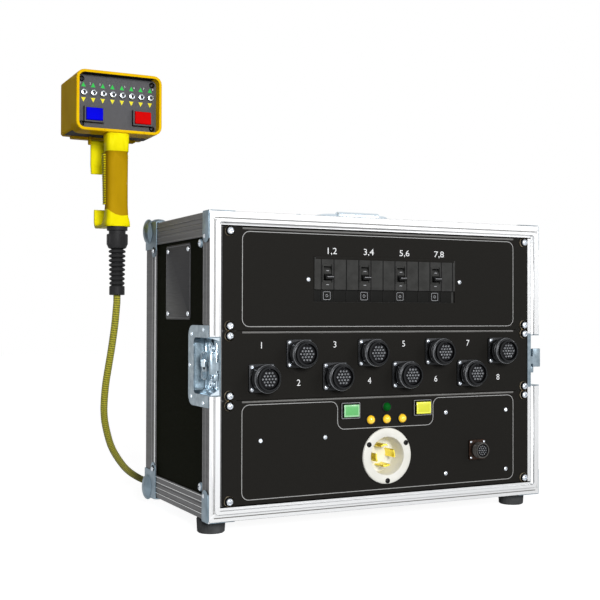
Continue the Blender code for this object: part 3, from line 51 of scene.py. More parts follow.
# Camera, solved from the rack's edges and screws
cameraPlan = {"place": (-0.7541, -1.2441, 0.2812), "yaw": -0.4629, "pitch": 0.0137, "roll": 0.0025, "lens": 63.75,
              "sensor": 36.0, "near": 0.05}
lens = bpy.data.cameras.new("camera")
lens.lens = cameraPlan["lens"]
lens.sensor_width = cameraPlan["sensor"]
lens.clip_start = cameraPlan["near"]
camera = bpy.data.objects.new("camera", lens)
world.collection.objects.link(camera)
camera.location = spot(*cameraPlan["place"])
aim = Euler((0, 0, cameraPlan["yaw"])).to_matrix() @ Euler((math.pi / 2 + cameraPlan["pitch"], 0, 0)).to_matrix()
camera.rotation_euler = (aim @ Matrix.Rotation(cameraPlan["roll"], 3, "Z")).to_euler()
world.camera = camera
print("camera placed")


def hexColour(code):
    parts = [int(code[i:i + 2], 16) / 255 for i in (1, 3, 5)]
    linear = [c / 12.92 if c <= 0.04045 else ((c + 0.055) / 1.055) ** 2.4 for c in parts]
    return (*linear, 1.0)


def addNode(tree, kind, settings=None, links=None):
    node = tree.nodes.new(kind)
    for name, value in (settings or {}).items():
        if isinstance(name, str) and hasattr(node, name):
            setattr(node, name, value)
        else:
            node.inputs[name].default_value = value
    for name, source in (links or {}).items():
        tree.links.new(source, node.inputs[name])
    return node


def startMaterial(name, colour, metallic, roughness, specular):
    material = bpy.data.materials.new(name)
    material.use_nodes = True
    tree = material.node_tree
    shader = tree.nodes["Principled BSDF"]
    shader.inputs["Base Color"].default_value = hexColour(colour)
    shader.inputs["Metallic"].default_value = metallic
    shader.inputs["Roughness"].default_value = roughness
    shader.inputs["Specular IOR Level"].default_value = specular
    return material, tree, shader


def objectCoordinates(tree, scale):
    place = addNode(tree, "ShaderNodeTexCoord")
    return addNode(tree, "ShaderNodeMapping", {"Scale": scale}, {"Vector": place.outputs["Object"]})


def addGrain(tree, shader, scale, strength, distance, roughness=None, stretch=(1, 1, 1)):
    mapping = objectCoordinates(tree, stretch)
    grain = addNode(tree, "ShaderNodeTexNoise", {"Scale": scale, "Detail": 3.0},
                    {"Vector": mapping.outputs["Vector"]})
    bump = addNode(tree, "ShaderNodeBump", {"Strength": strength, "Distance": distance},
                   {"Height": grain.outputs["Fac"]})
    tree.links.new(bump.outputs["Normal"], shader.inputs["Normal"])
    if roughness:
        spread = addNode(tree, "ShaderNodeMapRange", {"To Min": roughness[0], "To Max": roughness[1]},
                         {"Value": grain.outputs["Fac"]})
        tree.links.new(spread.outputs["Result"], shader.inputs["Roughness"])


def mottle(tree, shader, low, high, scale, stretch=(1, 1, 1), contrast=(0.35, 0.65)):
    mapping = objectCoordinates(tree, stretch)
    cloud = addNode(tree, "ShaderNodeTexNoise", {"Scale": scale, "Detail": 4.0},
                    {"Vector": mapping.outputs["Vector"]})
    ramp = addNode(tree, "ShaderNodeValToRGB", {}, {"Fac": cloud.outputs["Fac"]})
    for stop, place, colour in zip(ramp.color_ramp.elements, contrast, (low, high)):
        stop.position, stop.color = place, hexColour(colour)
    tree.links.new(ramp.outputs["Color"], shader.inputs["Base Color"])


# Materials. Clouds: two shades, a scale, a stretch, a contrast. Grain: a scale, a bump's strength
# and distance, a range of roughness, a stretch. Scales count from metres.
def grainy(name, colour, metallic, roughness, specular, clouds, grain):
    material, tree, shader = startMaterial(name, colour, metallic, roughness, specular)
    if clouds:
        mottle(tree, shader, *clouds)
    addGrain(tree, shader, *grain)
    return material


def breakerPlastic():
    # thermoset breaker case: near black, satin, with a moulded grain
    return grainy("thermoset moulding", "#363635", 0.0, 0.42, 0.06, ("#323231", "#3B3B3A", 90.0),
                  (1200.0, 0.2, 0.0002, (0.36, 0.5)))


def keyCap(name, colour, shade):
    # hard glossy key tops, moulded in one deep colour
    return grainy(name, colour, 0.0, 0.34, 0.02, (shade, colour, 40.0), (1200.0, 0.1, 0.0002, (0.28, 0.4)))


def screenPrint(name="white screen print", colour="#E4E5E6"):
    # thick matt ink, a little uneven
    return grainy(name, colour, 0.0, 0.55, 0.3, None, (2000.0, 0.15, 0.0001, (0.5, 0.65)))


def satinBlack(name, colour, roughness, specular):
    # moulded or coated black, told apart by shade and shine
    return grainy(name, colour, 0.0, roughness, specular, None,
                  (1100.0, 0.18, 0.0002, (roughness - 0.06, roughness + 0.08)))


def darkPlating(name, colour, shade, roughness):
    # olive or black plated shells: metal that shows its colour in the highlights
    return grainy(name, colour, 0.8, roughness, 0.5, (shade, colour, 320.0),
                  (800.0, 0.12, 0.0002, (roughness - 0.05, roughness + 0.1)))


def lensPlastic(name, colour, glow):
    # clear coloured moulding over a diffuser: deep colour, glossy skin
    material, tree, shader = startMaterial(name, colour, 0.0, 0.16, 0.6)
    shader.inputs["Coat Weight"].default_value = 0.5
    shader.inputs["Coat Roughness"].default_value = 0.08
    shader.inputs["Subsurface Weight"].default_value = 0.1
    shader.inputs["Emission Color"].default_value = hexColour(colour)
    shader.inputs["Emission Strength"].default_value = glow
    addGrain(tree, shader, 300.0, 0.05, 0.0003, (0.12, 0.22))
    return material


def wovenSleeve():
    # braided polyester sleeve: eight strands each way round the cord, yellow and green with dark gaps
    material, tree, shader = startMaterial("braided sleeve", "#9DA02E", 0.0, 0.7, 0.25)
    uv = addNode(tree, "ShaderNodeUVMap", {"uv_map": "sleeve"})
    parts = addNode(tree, "ShaderNodeSeparateXYZ", None, {"Vector": uv.outputs["UV"]})
    around = parts.outputs["X"]   # turns round the cord
    along = parts.outputs["Y"]    # metres along the cord

    def maths(operation, first, second=None, factor=None):
        settings = {"operation": operation}
        if factor is not None:
            settings[1] = factor
        links = {0: first} if second is None else {0: first, 1: second}
        return addNode(tree, "ShaderNodeMath", settings, links).outputs[0]

    strands = []
    for way in (1.0, -1.0):
        run = maths("MULTIPLY", along, factor=150.0 * way)
        both = maths("ADD", run, maths("MULTIPLY", around, factor=8.0))
        strands.append(maths("SINE", maths("MULTIPLY", both, factor=2 * math.pi)))
    crossed = maths("MULTIPLY", *strands)
    level = addNode(tree, "ShaderNodeMapRange", {"From Min": -1.0, "From Max": 1.0}, {"Value": crossed})
    ramp = addNode(tree, "ShaderNodeValToRGB", {}, {"Fac": level.outputs["Result"]})
    stops = ramp.color_ramp.elements
    stops[0].position, stops[0].color = 0.12, hexColour("#2E330F")
    stops[1].position, stops[1].color = 0.55, hexColour("#A9A52C")
    bright = stops.new(0.85)
    bright.color = hexColour("#CFC63F")
    tree.links.new(ramp.outputs["Color"], shader.inputs["Base Color"])
    bump = addNode(tree, "ShaderNodeBump", {"Strength": 0.6, "Distance": 0.0006}, {"Height": level.outputs["Result"]})
    tree.links.new(bump.outputs["Normal"], shader.inputs["Normal"])
    shader.inputs["Sheen Weight"].default_value = 0.2
    return material


plain, alongX, alongY = (1, 1, 1), (0.05, 1.0, 1.0), (1.0, 0.05, 1.0)
finishes = {
    # anodised extrusion: satin, with fine drawing lines that spread the light
    "aluminium": grainy("anodised aluminium", "#CDCECF", 1.0, 0.42, 0.5, None,
                        (900.0, 0.05, 0.0002, (0.36, 0.5), alongX)),
    # the edge profiles' flanks: mill finish, greyer, with long drawing streaks
    "edge aluminium": grainy("mill finish aluminium", "#5C5C5D", 1.0, 0.55, 0.5,
                             ("#565657", "#636364", 420.0, (1.0, 0.02, 1.0), (0.3, 0.7)),
                             (900.0, 0.12, 0.0002, (0.5, 0.62), alongY)),
    # fine textured powder coat, about 0.4 mm grain: soft black with a dull shine
    "steel": grainy("powder coated steel", "#1E1D1B", 0.0, 0.5, 0.03,
                    ("#1A1917", "#232220", 1400.0, plain, (0.3, 0.7)), (1400.0, 0.25, 0.0002, (0.42, 0.56))),
    # black phenolic laminate with a pebbled face that sparkles in points
    "laminate": grainy("phenolic laminate", "#16170F", 0.0, 0.6, 0.004,
                       ("#101109", "#24261C", 700.0, plain, (0.4, 0.78)), (520.0, 0.4, 0.0005, (0.42, 0.7))),
    # pressed steel, bright nickel, with a faint orange peel; the latches' dishes are paler
    "nickel": grainy("nickel plated steel", "#6C7B87", 1.0, 0.34, 0.5,
                     ("#606F79", "#7E8E99", 60.0, plain, (0.3, 0.7)), (180.0, 0.14, 0.0006, (0.38, 0.5))),
    "latch nickel": grainy("burnished nickel", "#7A8993", 1.0, 0.3, 0.5,
                           ("#6C7A84", "#93A1AA", 110.0, plain, (0.3, 0.7)), (240.0, 0.16, 0.0005, (0.22, 0.38))),
    # small plated nuts, rivets and springs; zinc plated screws are duller
    "bright nickel": grainy("bright nickel", "#CFDBE4", 1.0, 0.2, 0.5, None, (400.0, 0.1, 0.0003, (0.14, 0.28))),
    "screw": grainy("zinc plated steel", "#C4C9CF", 1.0, 0.26, 0.5, None, (600.0, 0.1, 0.0003, (0.2, 0.34))),
    # moulded rubber: dull, slightly chalky
    "rubber": grainy("moulded rubber", "#454647", 0.0, 0.8, 0.1, ("#3E3F40", "#4F5051", 60.0), (900.0, 0.3, 0.0003)),
    "breaker": breakerPlastic(),
    # black anodised connector shell: dark metal with clear highlights on its edges
    "connector": grainy("black anodised shell", "#1D1E20", 0.75, 0.3, 0.5, None, (800.0, 0.12, 0.0002, (0.24, 0.38))),
    # glass filled nylon with a fine spark erosion grain; the grip's parts are greener
    "yellow": grainy("yellow nylon", "#F1C20E", 0.0, 0.46, 0.002, ("#ECBB0B", "#F6CA12", 18.0),
                     (1500.0, 0.18, 0.0002, (0.28, 0.4))),
    "lemon": grainy("lemon yellow nylon", "#F9EC0C", 0.0, 0.4, 0.02, ("#F5E608", "#FCF012", 18.0),
                    (1500.0, 0.18, 0.0002, (0.34, 0.46))),
    # softer overmoulding on the grip: the same yellow, deeper and duller
    "grip": grainy("grip overmoulding", "#B08B0A", 0.0, 0.6, 0.01, ("#A48007", "#BC950D", 26.0, (1, 1, 0.25)),
                   (1300.0, 0.25, 0.0003, (0.44, 0.56))),
    # engraved face plate: matt grey film with a fine speckle
    "face": grainy("grey face film", "#58585B", 0.0, 0.5, 0.08, ("#4D4D50", "#656568", 1300.0, plain, (0.4, 0.6)),
                   (1400.0, 0.2, 0.0002)),
    # moulded nylon inlet: warm white and satin; its blades are stamped brass, rubbed lengthwise
    "nylon": grainy("white nylon", "#E4E3DB", 0.0, 0.4, 0.3, ("#DFDED5", "#E9E8E1", 30.0),
                    (900.0, 0.1, 0.0002, (0.34, 0.46))),
    "brass": grainy("stamped brass", "#F0DC5A", 1.0, 0.3, 0.5, None, (500.0, 0.15, 0.0002, (0.18, 0.32), (1, 0.1, 1))),
    # yellow chromate cup washers, brownish gold; black oxide screws, oily
    "bronze": grainy("yellow chromate", "#8C8070", 1.0, 0.3, 0.5, ("#6B6152", "#A89C86", 240.0),
                     (700.0, 0.1, 0.0002, (0.22, 0.4))),
    "dark screw": grainy("black oxide steel", "#2A2A2C", 0.9, 0.28, 0.5, None, (900.0, 0.15, 0.0002, (0.2, 0.38))),
    # anodised label stock: dark grey with a fine brushed grain
    "label": grainy("dark anodised label", "#2E2E30", 0.25, 0.5, 0.1, None,
                    (700.0, 0.25, 0.0002, (0.34, 0.52), (1, 0.06, 1))),
    "black moulding": breakerPlastic(), "sleeve": wovenSleeve(),
    "green": lensPlastic("green lens", "#93CF96", 0.08), "cap": lensPlastic("yellow lens", "#F2F03C", 0.1),
    "amber": lensPlastic("amber lens", "#FFCA26", 0.3), "dark green": keyCap("dark green lens", "#0B5E1E", "#084C17"),
    "blue": keyCap("blue key", "#0404E4", "#0303D2"), "red": keyCap("red key", "#DC0808", "#C80606"),
    "print": screenPrint(), "line print": screenPrint("panel line print", "#A3A3A2"),
    "label print": screenPrint("grey screen print", "#9A9B9E"),
    "green print": screenPrint("green screen print", "#25C24A"),
    "yellow print": screenPrint("yellow screen print", "#F0E52A"),
}
finishes.update({key: satinBlack(*values) for key, values in {
    # the first entry's grey is a painted highlight on the panels' folds, lighter than their powder coat
    # the second entry's black fills real gaps, and is also painted shade and painted shadow on the housing and round
    # the side rivets
    "worn steel": ("steel fold painted highlight", "#5F5E5C", 0.32, 0.5), "gap black": ("seam and shade black", "#0A0A0A", 0.7, 0.1),
    "panel black": ("dark cover", "#171717", 0.45, 0.2), "insert": ("connector insert", "#131315", 0.5, 0.06),
    "green field": ("green legend field", "#62B66A", 0.3, 0.5),
    "yellow field": ("yellow legend field", "#D9DA35", 0.3, 0.5),
    # both these greys are painted shadow lines on the front frame; the darker one also marks the profile's joint at top
    # and bottom
    "edge shade": ("profile joint and painted shadow", "#6F6E6C", 0.5, 0.2), "pale shade": ("painted shadow in the upright", "#A9A9A8", 0.5, 0.1),
    "strip black": ("lower cover moulding", "#1D1D1C", 0.5, 0.03),
    "gland black": ("gland moulding", "#2E2E2F", 0.5, 0.1),
    # olive is painted shade for the grooves between the grip's ribs
    "olive": ("dark olive painted shade", "#5A4A0C", 0.6, 0.05), "screen black": ("black thermoset", "#121212", 0.4, 0.15),
}.items()})
finishes.update({key: darkPlating(*values) for key, values in {
    "contact": ("contact collar", "#8E9093", "#6C6E71", 0.3),
    "socket shell": ("socket shell", "#5D5B58", "#3A3836", 0.3),
    "bronze flange": ("bronze flange", "#2E1B11", "#1C110B", 0.38),
    # the pale entry is a painted sheen on the left latch's dish
    "pale liner": ("painted latch sheen", "#A9BBC6", "#93A5B0", 0.34),
    "faint ridge": ("drawn ridge", "#747475", "#696969", 0.4),
}.items()})
print("materials made")


# Making pieces
def turnTo(axis):
    return Vector(axis).to_track_quat("Z", "Y").to_matrix().to_4x4()


def addBlock(shape, low, high, edge=0.0, segments=2):
    low, high = Vector(low), Vector(high)
    matrix = Matrix.Translation((low + high) / 2) @ Matrix.Diagonal((*(high - low), 1.0))
    made = bmesh.ops.create_cube(shape, size=1.0, matrix=matrix)["verts"]
    if edge:
        edges = list({e for v in made for e in v.link_edges})
        bmesh.ops.bevel(shape, geom=edges, offset=edge, affect="EDGES", segments=segments,
                        profile=0.5, material=-1)
    return made


def addRod(shape, start, end, radius, sides):
    run = end - start
    matrix = Matrix.Translation((start + end) / 2) @ turnTo(run)
    bmesh.ops.create_cone(shape, cap_ends=True, segments=sides, radius1=radius, radius2=radius,
                          depth=run.length, matrix=matrix)


def addLathe(shape, profile, centre, axis, steps):
    matrix = Matrix.Translation(centre) @ turnTo(axis)
    line = [shape.verts.new((radius, 0.0, height)) for radius, height in profile]
    edges = [shape.edges.new(pair) for pair in zip(line, line[1:])]
    bmesh.ops.spin(shape, geom=line + edges, cent=(0, 0, 0), axis=(0, 0, 1), dvec=(0, 0, 0),
                   angle=2 * math.pi, steps=steps, use_merge=True, use_duplicate=False)
    made = set(line)
    reach = list(line)
    while reach:
        vertex = reach.pop()
        for edge in vertex.link_edges:
            other = edge.other_vert(vertex)
            if other not in made:
                made.add(other)
                reach.append(other)
    bmesh.ops.remove_doubles(shape, verts=list(made), dist=0.000001)
    made = [v for v in made if v.is_valid]
    bmesh.ops.recalc_face_normals(shape, faces=list({f for v in made for f in v.link_faces}))
    bmesh.ops.transform(shape, matrix=matrix, verts=made)


def colourFaces(made, slot):
    # every face at these vertices takes the piece's finish of that number
    for face in {f for v in made for f in v.link_faces}:
        face.material_index = slot


def meshOf(shape, name):
    mesh = bpy.data.meshes.new(name)
    shape.to_mesh(mesh)
    shape.free()
    return mesh


def shapeOfCurve(curve):
    holder = bpy.data.objects.new("outline", curve)
    mesh = bpy.data.meshes.new_from_object(holder)
    bpy.data.objects.remove(holder)
    return mesh


def beadMesh(points, radius, sides, closed):
    # a round bead along a line of points
    curve = bpy.data.curves.new("bead", "CURVE")
    curve.dimensions = "3D"
    curve.bevel_depth = radius
    curve.bevel_resolution = sides
    curve.render_resolution_u = 0
    spline = curve.splines.new("POLY")
    spline.points.add(len(points) - 1)
    spline.use_cyclic_u = closed
    for point, place in zip(spline.points, points):
        point.co = (*place, 1.0)
    return shapeOfCurve(curve)


def newPiece(name, shape, finish, body="case", stands=(), angle=32):
    mesh = meshOf(shape, name)
    for part in (finish,) if isinstance(finish, str) else finish:
        mesh.materials.append(finishes[part])
    mesh.shade_smooth()
    mesh.set_sharp_from_angle(angle=math.radians(angle))
    piece = bpy.data.objects.new(name, mesh)
    world.collection.objects.link(piece)
    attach(piece, body)
    if stands:
        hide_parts(*stands)
    return piece


def dress(node, finish):
    piece = nodes[node]
    for slot in piece.material_slots:
        slot.material = finishes[finish]
    if not piece.material_slots:
        piece.data.materials.append(finishes[finish])


# Cord: down from the gland to the floor, then into a flat coil of two layers behind the case
cordPlan = {
    "diameter": 0.0105, "exit": (-0.2998, 0.266, 0.3091), "sides": 6, "step": 0.0115, "joins": (0.0263, 0.0108),
    "route": [(-0.3022, 0.2675, 0.2667), (-0.3058, 0.2720, 0.2308), (-0.3087, 0.2770, 0.2040),
              (-0.3108, 0.2840, 0.1771), (-0.3107, 0.2920, 0.1497), (-0.3082, 0.3000, 0.1305),
              (-0.3027, 0.3090, 0.1110), (-0.2903, 0.3250, 0.0823), (-0.2733, 0.3430, 0.0590),
              (-0.2532, 0.3640, 0.0388), (-0.2307, 0.3850, 0.0235), (-0.2095, 0.4075, 0.0128),
              (-0.1885, 0.4300, 0.0068)],
}
coilPlan = {
    "x": -0.070, "y": 0.395, "innerRadius": 0.052, "turns": 5, "pitch": 0.0114, "rise": 0.0112,
    "enter": 135.0, "leave": 65.0, "tail": 0.078, "loopPoints": 24, "low": 0.00555,
}


def smoothRoute(places, step):
    # points at even steps along a smooth curve through the places
    places, samples = [Vector(p) for p in places], 40
    ends = [2 * places[0] - places[1]] + places + [2 * places[-1] - places[-2]]
    fine = []
    for a, b, c, d in zip(ends, ends[1:], ends[2:], ends[3:]):
        for i in range(samples):
            t = i / samples
            fine.append(0.5 * ((2 * b) + (c - a) * t + (2 * a - 5 * b + 4 * c - d) * t ** 2
                               + (3 * b - a - 3 * c + d) * t ** 3))
    fine.append(places[-1])
    total = sum((two - one).length for one, two in zip(fine, fine[1:]))
    count = max(2, round(total / step))
    route, walked, target = [fine[0]], 0.0, total / count
    for one, two in zip(fine, fine[1:]):
        walked += (two - one).length
        if walked >= target - 1e-9 and len(route) < count:
            route.append(two)
            target += total / count
    route.append(fine[-1])
    return route


def coilHeading(angle):
    return Vector((math.sin(math.radians(angle)), -math.cos(math.radians(angle)), 0.0))


def coilPoints(plan):
    # spirals in on the floor, climbs in a half turn, spirals out on top
    loop, pitch, step = plan["loopPoints"], plan["pitch"], 360 / plan["loopPoints"]
    inward, half = plan["turns"] * loop, loop // 2
    outward = round(((plan["enter"] - 180 - plan["leave"]) % 360) / step) + (plan["turns"] - 1) * loop
    points = []
    for i in range(inward + half + outward + 1):
        z = plan["low"]
        if i <= inward:
            radius = plan["innerRadius"] + pitch * (inward - i) / loop
        elif i <= inward + half:
            part = math.pi * (i - inward) / half
            radius = plan["innerRadius"] - pitch / (2 * math.pi) * math.sin(part)
            z += plan["rise"] * (1 - math.cos(part)) / 2
        else:
            radius = plan["innerRadius"] + pitch * (i - inward - half) / loop
            z += plan["rise"]
        angle = math.radians(plan["enter"] - step * i)
        points.append(spot(plan["x"] + radius * math.cos(angle), plan["y"] + radius * math.sin(angle), z))
    first = coilHeading(plan["enter"])
    last = coilHeading(plan["enter"] - step * (len(points) - 1))
    points.insert(0, points[0] - first * cordPlan["diameter"])
    points.append(points[-1] + last * plan["tail"])
    return points, first


def tubeAlong(points, radius, sides):
    # a swept tube with its own map: turns round it, and metres along it
    mesh = beadMesh(points, radius, sides, False)
    shape = bmesh.new()
    shape.from_mesh(mesh)
    bpy.data.meshes.remove(mesh)
    ringSize = len(shape.verts) // len(points)
    walked = [0.0]
    for one, two in zip(points, points[1:]):
        walked.append(walked[-1] + (two - one).length)
    for old in list(shape.loops.layers.uv):
        shape.loops.layers.uv.remove(old)
    sleeve = shape.loops.layers.uv.new("sleeve")
    shape.verts.ensure_lookup_table()
    for face in shape.faces:
        turns = [loop.vert.index % ringSize for loop in face.loops]
        wraps = max(turns) - min(turns) > ringSize / 2
        for loop, turn in zip(face.loops, turns):
            turn = ringSize if wraps and turn == 0 else turn
            loop[sleeve].uv = (turn / ringSize, walked[loop.vert.index // ringSize])
    bmesh.ops.holes_fill(shape, edges=[e for e in shape.edges if e.is_boundary], sides=0)
    bmesh.ops.recalc_face_normals(shape, faces=shape.faces)
    return shape, walked[-1]


coilPath, coilFirst = coilPoints(coilPlan)
cordExit = spot(*cordPlan["exit"])
cordTop = [cordExit - Vector((0, 0, cordPlan["diameter"]))] + [spot(*p) for p in cordPlan["route"]]
cordTop += [coilPath[0] - coilFirst * gap for gap in cordPlan["joins"]]
cordPath = [cordExit] + smoothRoute(cordTop, cordPlan["step"]) + coilPath
cordShape, cordLength = tubeAlong(cordPath, cordPlan["diameter"] / 2, cordPlan["sides"])
cordPiece = newPiece("braided_cord", cordShape, "sleeve", stands=("cord", "cord_coil"), angle=60)
print("cord made, length %.2f m" % cordLength)


# Floor, lights and a white background that only the camera and reflections see in full
def softLight(name, place, target, size, power):
    lamp = bpy.data.lights.new(name, "AREA")
    lamp.shape = "DISK"
    lamp.size = size
    lamp.energy = power
    holder = bpy.data.objects.new(name, lamp)
    world.collection.objects.link(holder)
    holder.location = spot(*place)
    holder.rotation_euler = (Vector(target) - Vector(place)).to_track_quat("-Z", "Y").to_euler()
    return holder


def directRays(tree, kinds):
    # 1 for the rays of these kinds, 0 for the light that surfaces pass on
    rays = addNode(tree, "ShaderNodeLightPath")
    seen = rays.outputs[kinds[0]]
    for kind in kinds[1:]:
        links = {0: seen, 1: rays.outputs[kind]}
        seen = addNode(tree, "ShaderNodeMath", {"operation": "MAXIMUM"}, links).outputs[0]
    return seen


def makeStage(plan):
    shape = bmesh.new()
    bmesh.ops.create_grid(shape, x_segments=1, y_segments=1, size=plan["floorSize"])
    mesh = meshOf(shape, "floor")
    floor = bpy.data.objects.new("floor", mesh)
    world.collection.objects.link(floor)
    # pale floor; rays from the camera and in reflections see it near white, with the shadow kept
    material, tree, shader = startMaterial("studio floor", plan["floorColour"], 0.0, 0.85, 0.1)
    mottle(tree, shader, plan["floorColour"], plan["floorShade"], 3.0)
    shader.inputs["Emission Color"].default_value = hexColour("#FFFFFF")
    direct = directRays(tree, ("Is Camera Ray", "Is Glossy Ray"))
    lift = addNode(tree, "ShaderNodeMapRange", {"To Max": plan["floorLift"]}, {"Value": direct})
    tree.links.new(lift.outputs["Result"], shader.inputs["Emission Strength"])
    mesh.materials.append(material)
    for entry in plan["lights"]:
        softLight(*entry)


stagePlan = {
    "floorSize": 6.0, "floorColour": "#A9AAAC", "floorShade": "#A3A4A6", "floorLift": 0.92,
    "lights": [("key light", (-0.75, -2.9, 0.95), (-0.1, 0.1, 0.28), 0.9, 84.0),
               ("right light", (1.6, -2.2, 1.3), (-0.1, 0.1, 0.25), 1.2, 16.0)],
    "ambient": 0.1,
}
makeStage(stagePlan)
backdrop = bpy.data.worlds.new("backdrop")
world.world = backdrop
backdrop.use_nodes = True
skyTree = backdrop.node_tree
sky = skyTree.nodes["Background"]
sky.inputs["Color"].default_value = hexColour("#FFFFFF")
seen = directRays(skyTree, ("Is Camera Ray", "Is Glossy Ray", "Is Transmission Ray"))
level = addNode(skyTree, "ShaderNodeMapRange", {"To Min": stagePlan["ambient"], "To Max": 1.0}, {"Value": seen})
skyTree.links.new(level.outputs["Result"], sky.inputs["Strength"])
world.view_settings.view_transform = "Standard"
print("stage ready")


# Shared small shapes
def addMesh(shape, mesh, matrix):
    copy = mesh.copy()
    copy.transform(matrix)
    shape.from_mesh(copy)
    bpy.data.meshes.remove(copy)


# Turn flat artwork to face the front or the left side
facingFront = Matrix.Rotation(math.pi / 2, 4, "X")
facingLeft = Matrix.Rotation(-math.pi / 2, 4, "Z") @ facingFront
inkPlan = {"capital": 0.72, "letterThick": 0.00003, "lineFlat": 0.15}


def addText(shape, words, place, height, stretch=1.0):
    letters = bpy.data.curves.new("letters", "FONT")
    letters.body = words
    letters.size = height / inkPlan["capital"]
    letters.align_x = "CENTER"
    letters.align_y = "CENTER"
    letters.extrude = inkPlan["letterThick"]
    letters.resolution_u = 3
    mesh = shapeOfCurve(letters)
    addMesh(shape, mesh, Matrix.Translation(place) @ facingFront @ Matrix.Diagonal((stretch, 1, 1, 1)))
    bpy.data.meshes.remove(mesh)


def addLine(shape, points, width, place, turn=facingFront):
    # a printed line: a flat bead of ink round an outline drawn in the XY plane
    mesh = beadMesh([(x, y, 0.0) for x, y in points], width / 2, 0, True)
    addMesh(shape, mesh, Matrix.Translation(place) @ turn @ Matrix.Diagonal((1, 1, inkPlan["lineFlat"], 1)))
    bpy.data.meshes.remove(mesh)


def arcPoints(x, y, radius, start, end, count=6):
    return [(x + radius * math.cos(math.radians(start + (end - start) * i / count)),
             y + radius * math.sin(math.radians(start + (end - start) * i / count)))
            for i in range(count + 1)]


def roundedOutline(left, right, low, high, radius, count=6):
    return (arcPoints(right - radius, high - radius, radius, 0, 90, count)
            + arcPoints(left + radius, high - radius, radius, 90, 180, count)
            + arcPoints(left + radius, low + radius, radius, 180, 270, count)
            + arcPoints(right - radius, low + radius, radius, 270, 360, count))


def plateMesh(outline, thick, edge=0.0):
    # a flat plate with its outline in XY and its face on top, at z = thick
    shape = bmesh.new()
    face = shape.faces.new([shape.verts.new((x, y, 0)) for x, y in outline])
    solid = bmesh.ops.extrude_face_region(shape, geom=[face])["geom"]
    bmesh.ops.translate(shape, verts=[v for v in solid if isinstance(v, bmesh.types.BMVert)], vec=(0, 0, thick))
    bmesh.ops.recalc_face_normals(shape, faces=shape.faces)
    if edge:
        rim = [e for e in shape.edges if all(abs(v.co.z - thick) < 1e-7 for v in e.verts)]
        bmesh.ops.bevel(shape, geom=rim, offset=edge, affect="EDGES", segments=2, profile=0.5, material=-1)
    return meshOf(shape, "plate")


def carve(mesh, cutters):
    # take cutters, as a list of meshes, out of a mesh
    body = bpy.data.objects.new("body", mesh)
    world.collection.objects.link(body)
    holders = []
    for cutter in cutters:
        holder = bpy.data.objects.new("cutter", cutter)
        world.collection.objects.link(holder)
        holders.append(holder)
        cutting = body.modifiers.new("cut", "BOOLEAN")
        cutting.operation, cutting.solver, cutting.object = "DIFFERENCE", "EXACT", holder
    bpy.context.view_layer.update()
    result = bpy.data.meshes.new_from_object(body.evaluated_get(bpy.context.evaluated_depsgraph_get()))
    for holder in [body] + holders:
        bpy.data.objects.remove(holder)
    return result


def boxMesh(low, high, edge=0.0):
    shape = bmesh.new()
    addBlock(shape, low, high, edge)
    return meshOf(shape, "box")


def latheMesh(profile, steps=24):
    shape = bmesh.new()
    addLathe(shape, profile, (0, 0, 0), (0, 0, 1), steps)
    return meshOf(shape, "turned")


def screwMesh(radius, height):
    # a domed head with a cross recess, its seat at z = 0
    dome = [(0, height)] + [(radius * math.sin(a), height * (0.25 + 0.75 * math.cos(a)))
                            for a in (0.3, 0.6, 0.9, 1.2, 1.45)] + [(radius, height * 0.2), (radius, 0.0), (0, 0.0)]
    long, wide = radius * 0.62, radius * 0.15
    return carve(latheMesh(dome), [boxMesh((-long, -wide, height * 0.35), (long, wide, height * 2)),
                                   boxMesh((-wide, -long, height * 0.35), (wide, long, height * 2))])


def rivetMesh(radius, height):
    dome = [(0, height)] + [(radius * math.sin(a), height * math.cos(a)) for a in (0.25, 0.5, 0.8, 1.1, 1.35)]
    return latheMesh(dome + [(radius, 0.0), (0, 0.0)], 20)


def cupWasherMesh(radius, height):
    shares = ((0.62, 0.55), (0.72, 1), (0.82, 0.9), (0.97, 0.15), (1, 0), (0.6, 0), (0.62, 0.55))
    return latheMesh([(radius * across, height * up) for across, up in shares], 28)


def stampAll(name, mesh, matrices, finish):
    shape = bmesh.new()
    for matrix in matrices:
        addMesh(shape, mesh, matrix)
    newPiece(name, shape, finish)


facingOut = {"front": facingFront, "left": Matrix.Rotation(-math.pi / 2, 4, "Y"),
             "right": Matrix.Rotation(math.pi / 2, 4, "Y")}


def seat(side, x, y, z, spin=0.0):
    return Matrix.Translation(spot(x, y, z)) @ facingOut[side] @ Matrix.Rotation(math.radians(spin), 4, "Z")


# Screws and washers on the rack panels
rackHardware = {"x": 0.23256, "z": (0.0444, 0.16505, 0.17775, 0.25395, 0.26665, 0.3873), "washer": 0.0069,
                "head": 0.0047, "proud": 0.0034}
rackSeats = [seat("front", side * rackHardware["x"], casePlan["panelY"], z, 17 * i + 9 * side)
             for side in (-1, 1) for i, z in enumerate(rackHardware["z"])]
washer = rackHardware["washer"]
stampAll("rack_washers", latheMesh([(washer - 0.0012, 0.0002), (washer - 0.0010, 0.0016), (washer - 0.0006, 0.0021),
                                    (washer - 0.0001, 0.0015), (washer, 0), (washer - 0.0012, 0.0002)], 32),
         rackSeats, "bronze")
stampAll("rack_recesses", latheMesh([(0, 0.0035), (0.0032, 0.0035), (0.0032, 0.0005), (washer - 0.0009, 0.0005),
                                     (washer - 0.0009, 0), (0, 0)], 24), rackSeats, "gap black")
lift = Matrix.Translation((0, 0, rackHardware["proud"]))
stampAll("rack_screws", screwMesh(rackHardware["head"], 0.0034), [m @ lift for m in rackSeats], "screw")

# Smaller screws: two beside the breaker window, six on the input panel
panelScrews = {"radius": 0.0031, "places": ((-0.120, 0.3275), (0.120, 0.3275), (-0.1885, 0.1188), (-0.0945, 0.1188),
                                            (0.097, 0.1443), (0.201, 0.1443), (0.201, 0.0589), (0.097, 0.0589))}
stampAll("panel_screws", screwMesh(panelScrews["radius"], 0.0019),
         [seat("front", x, casePlan["panelY"], z, 31 * i) for i, (x, z) in enumerate(panelScrews["places"])], "screw")
print("rack hardware made")


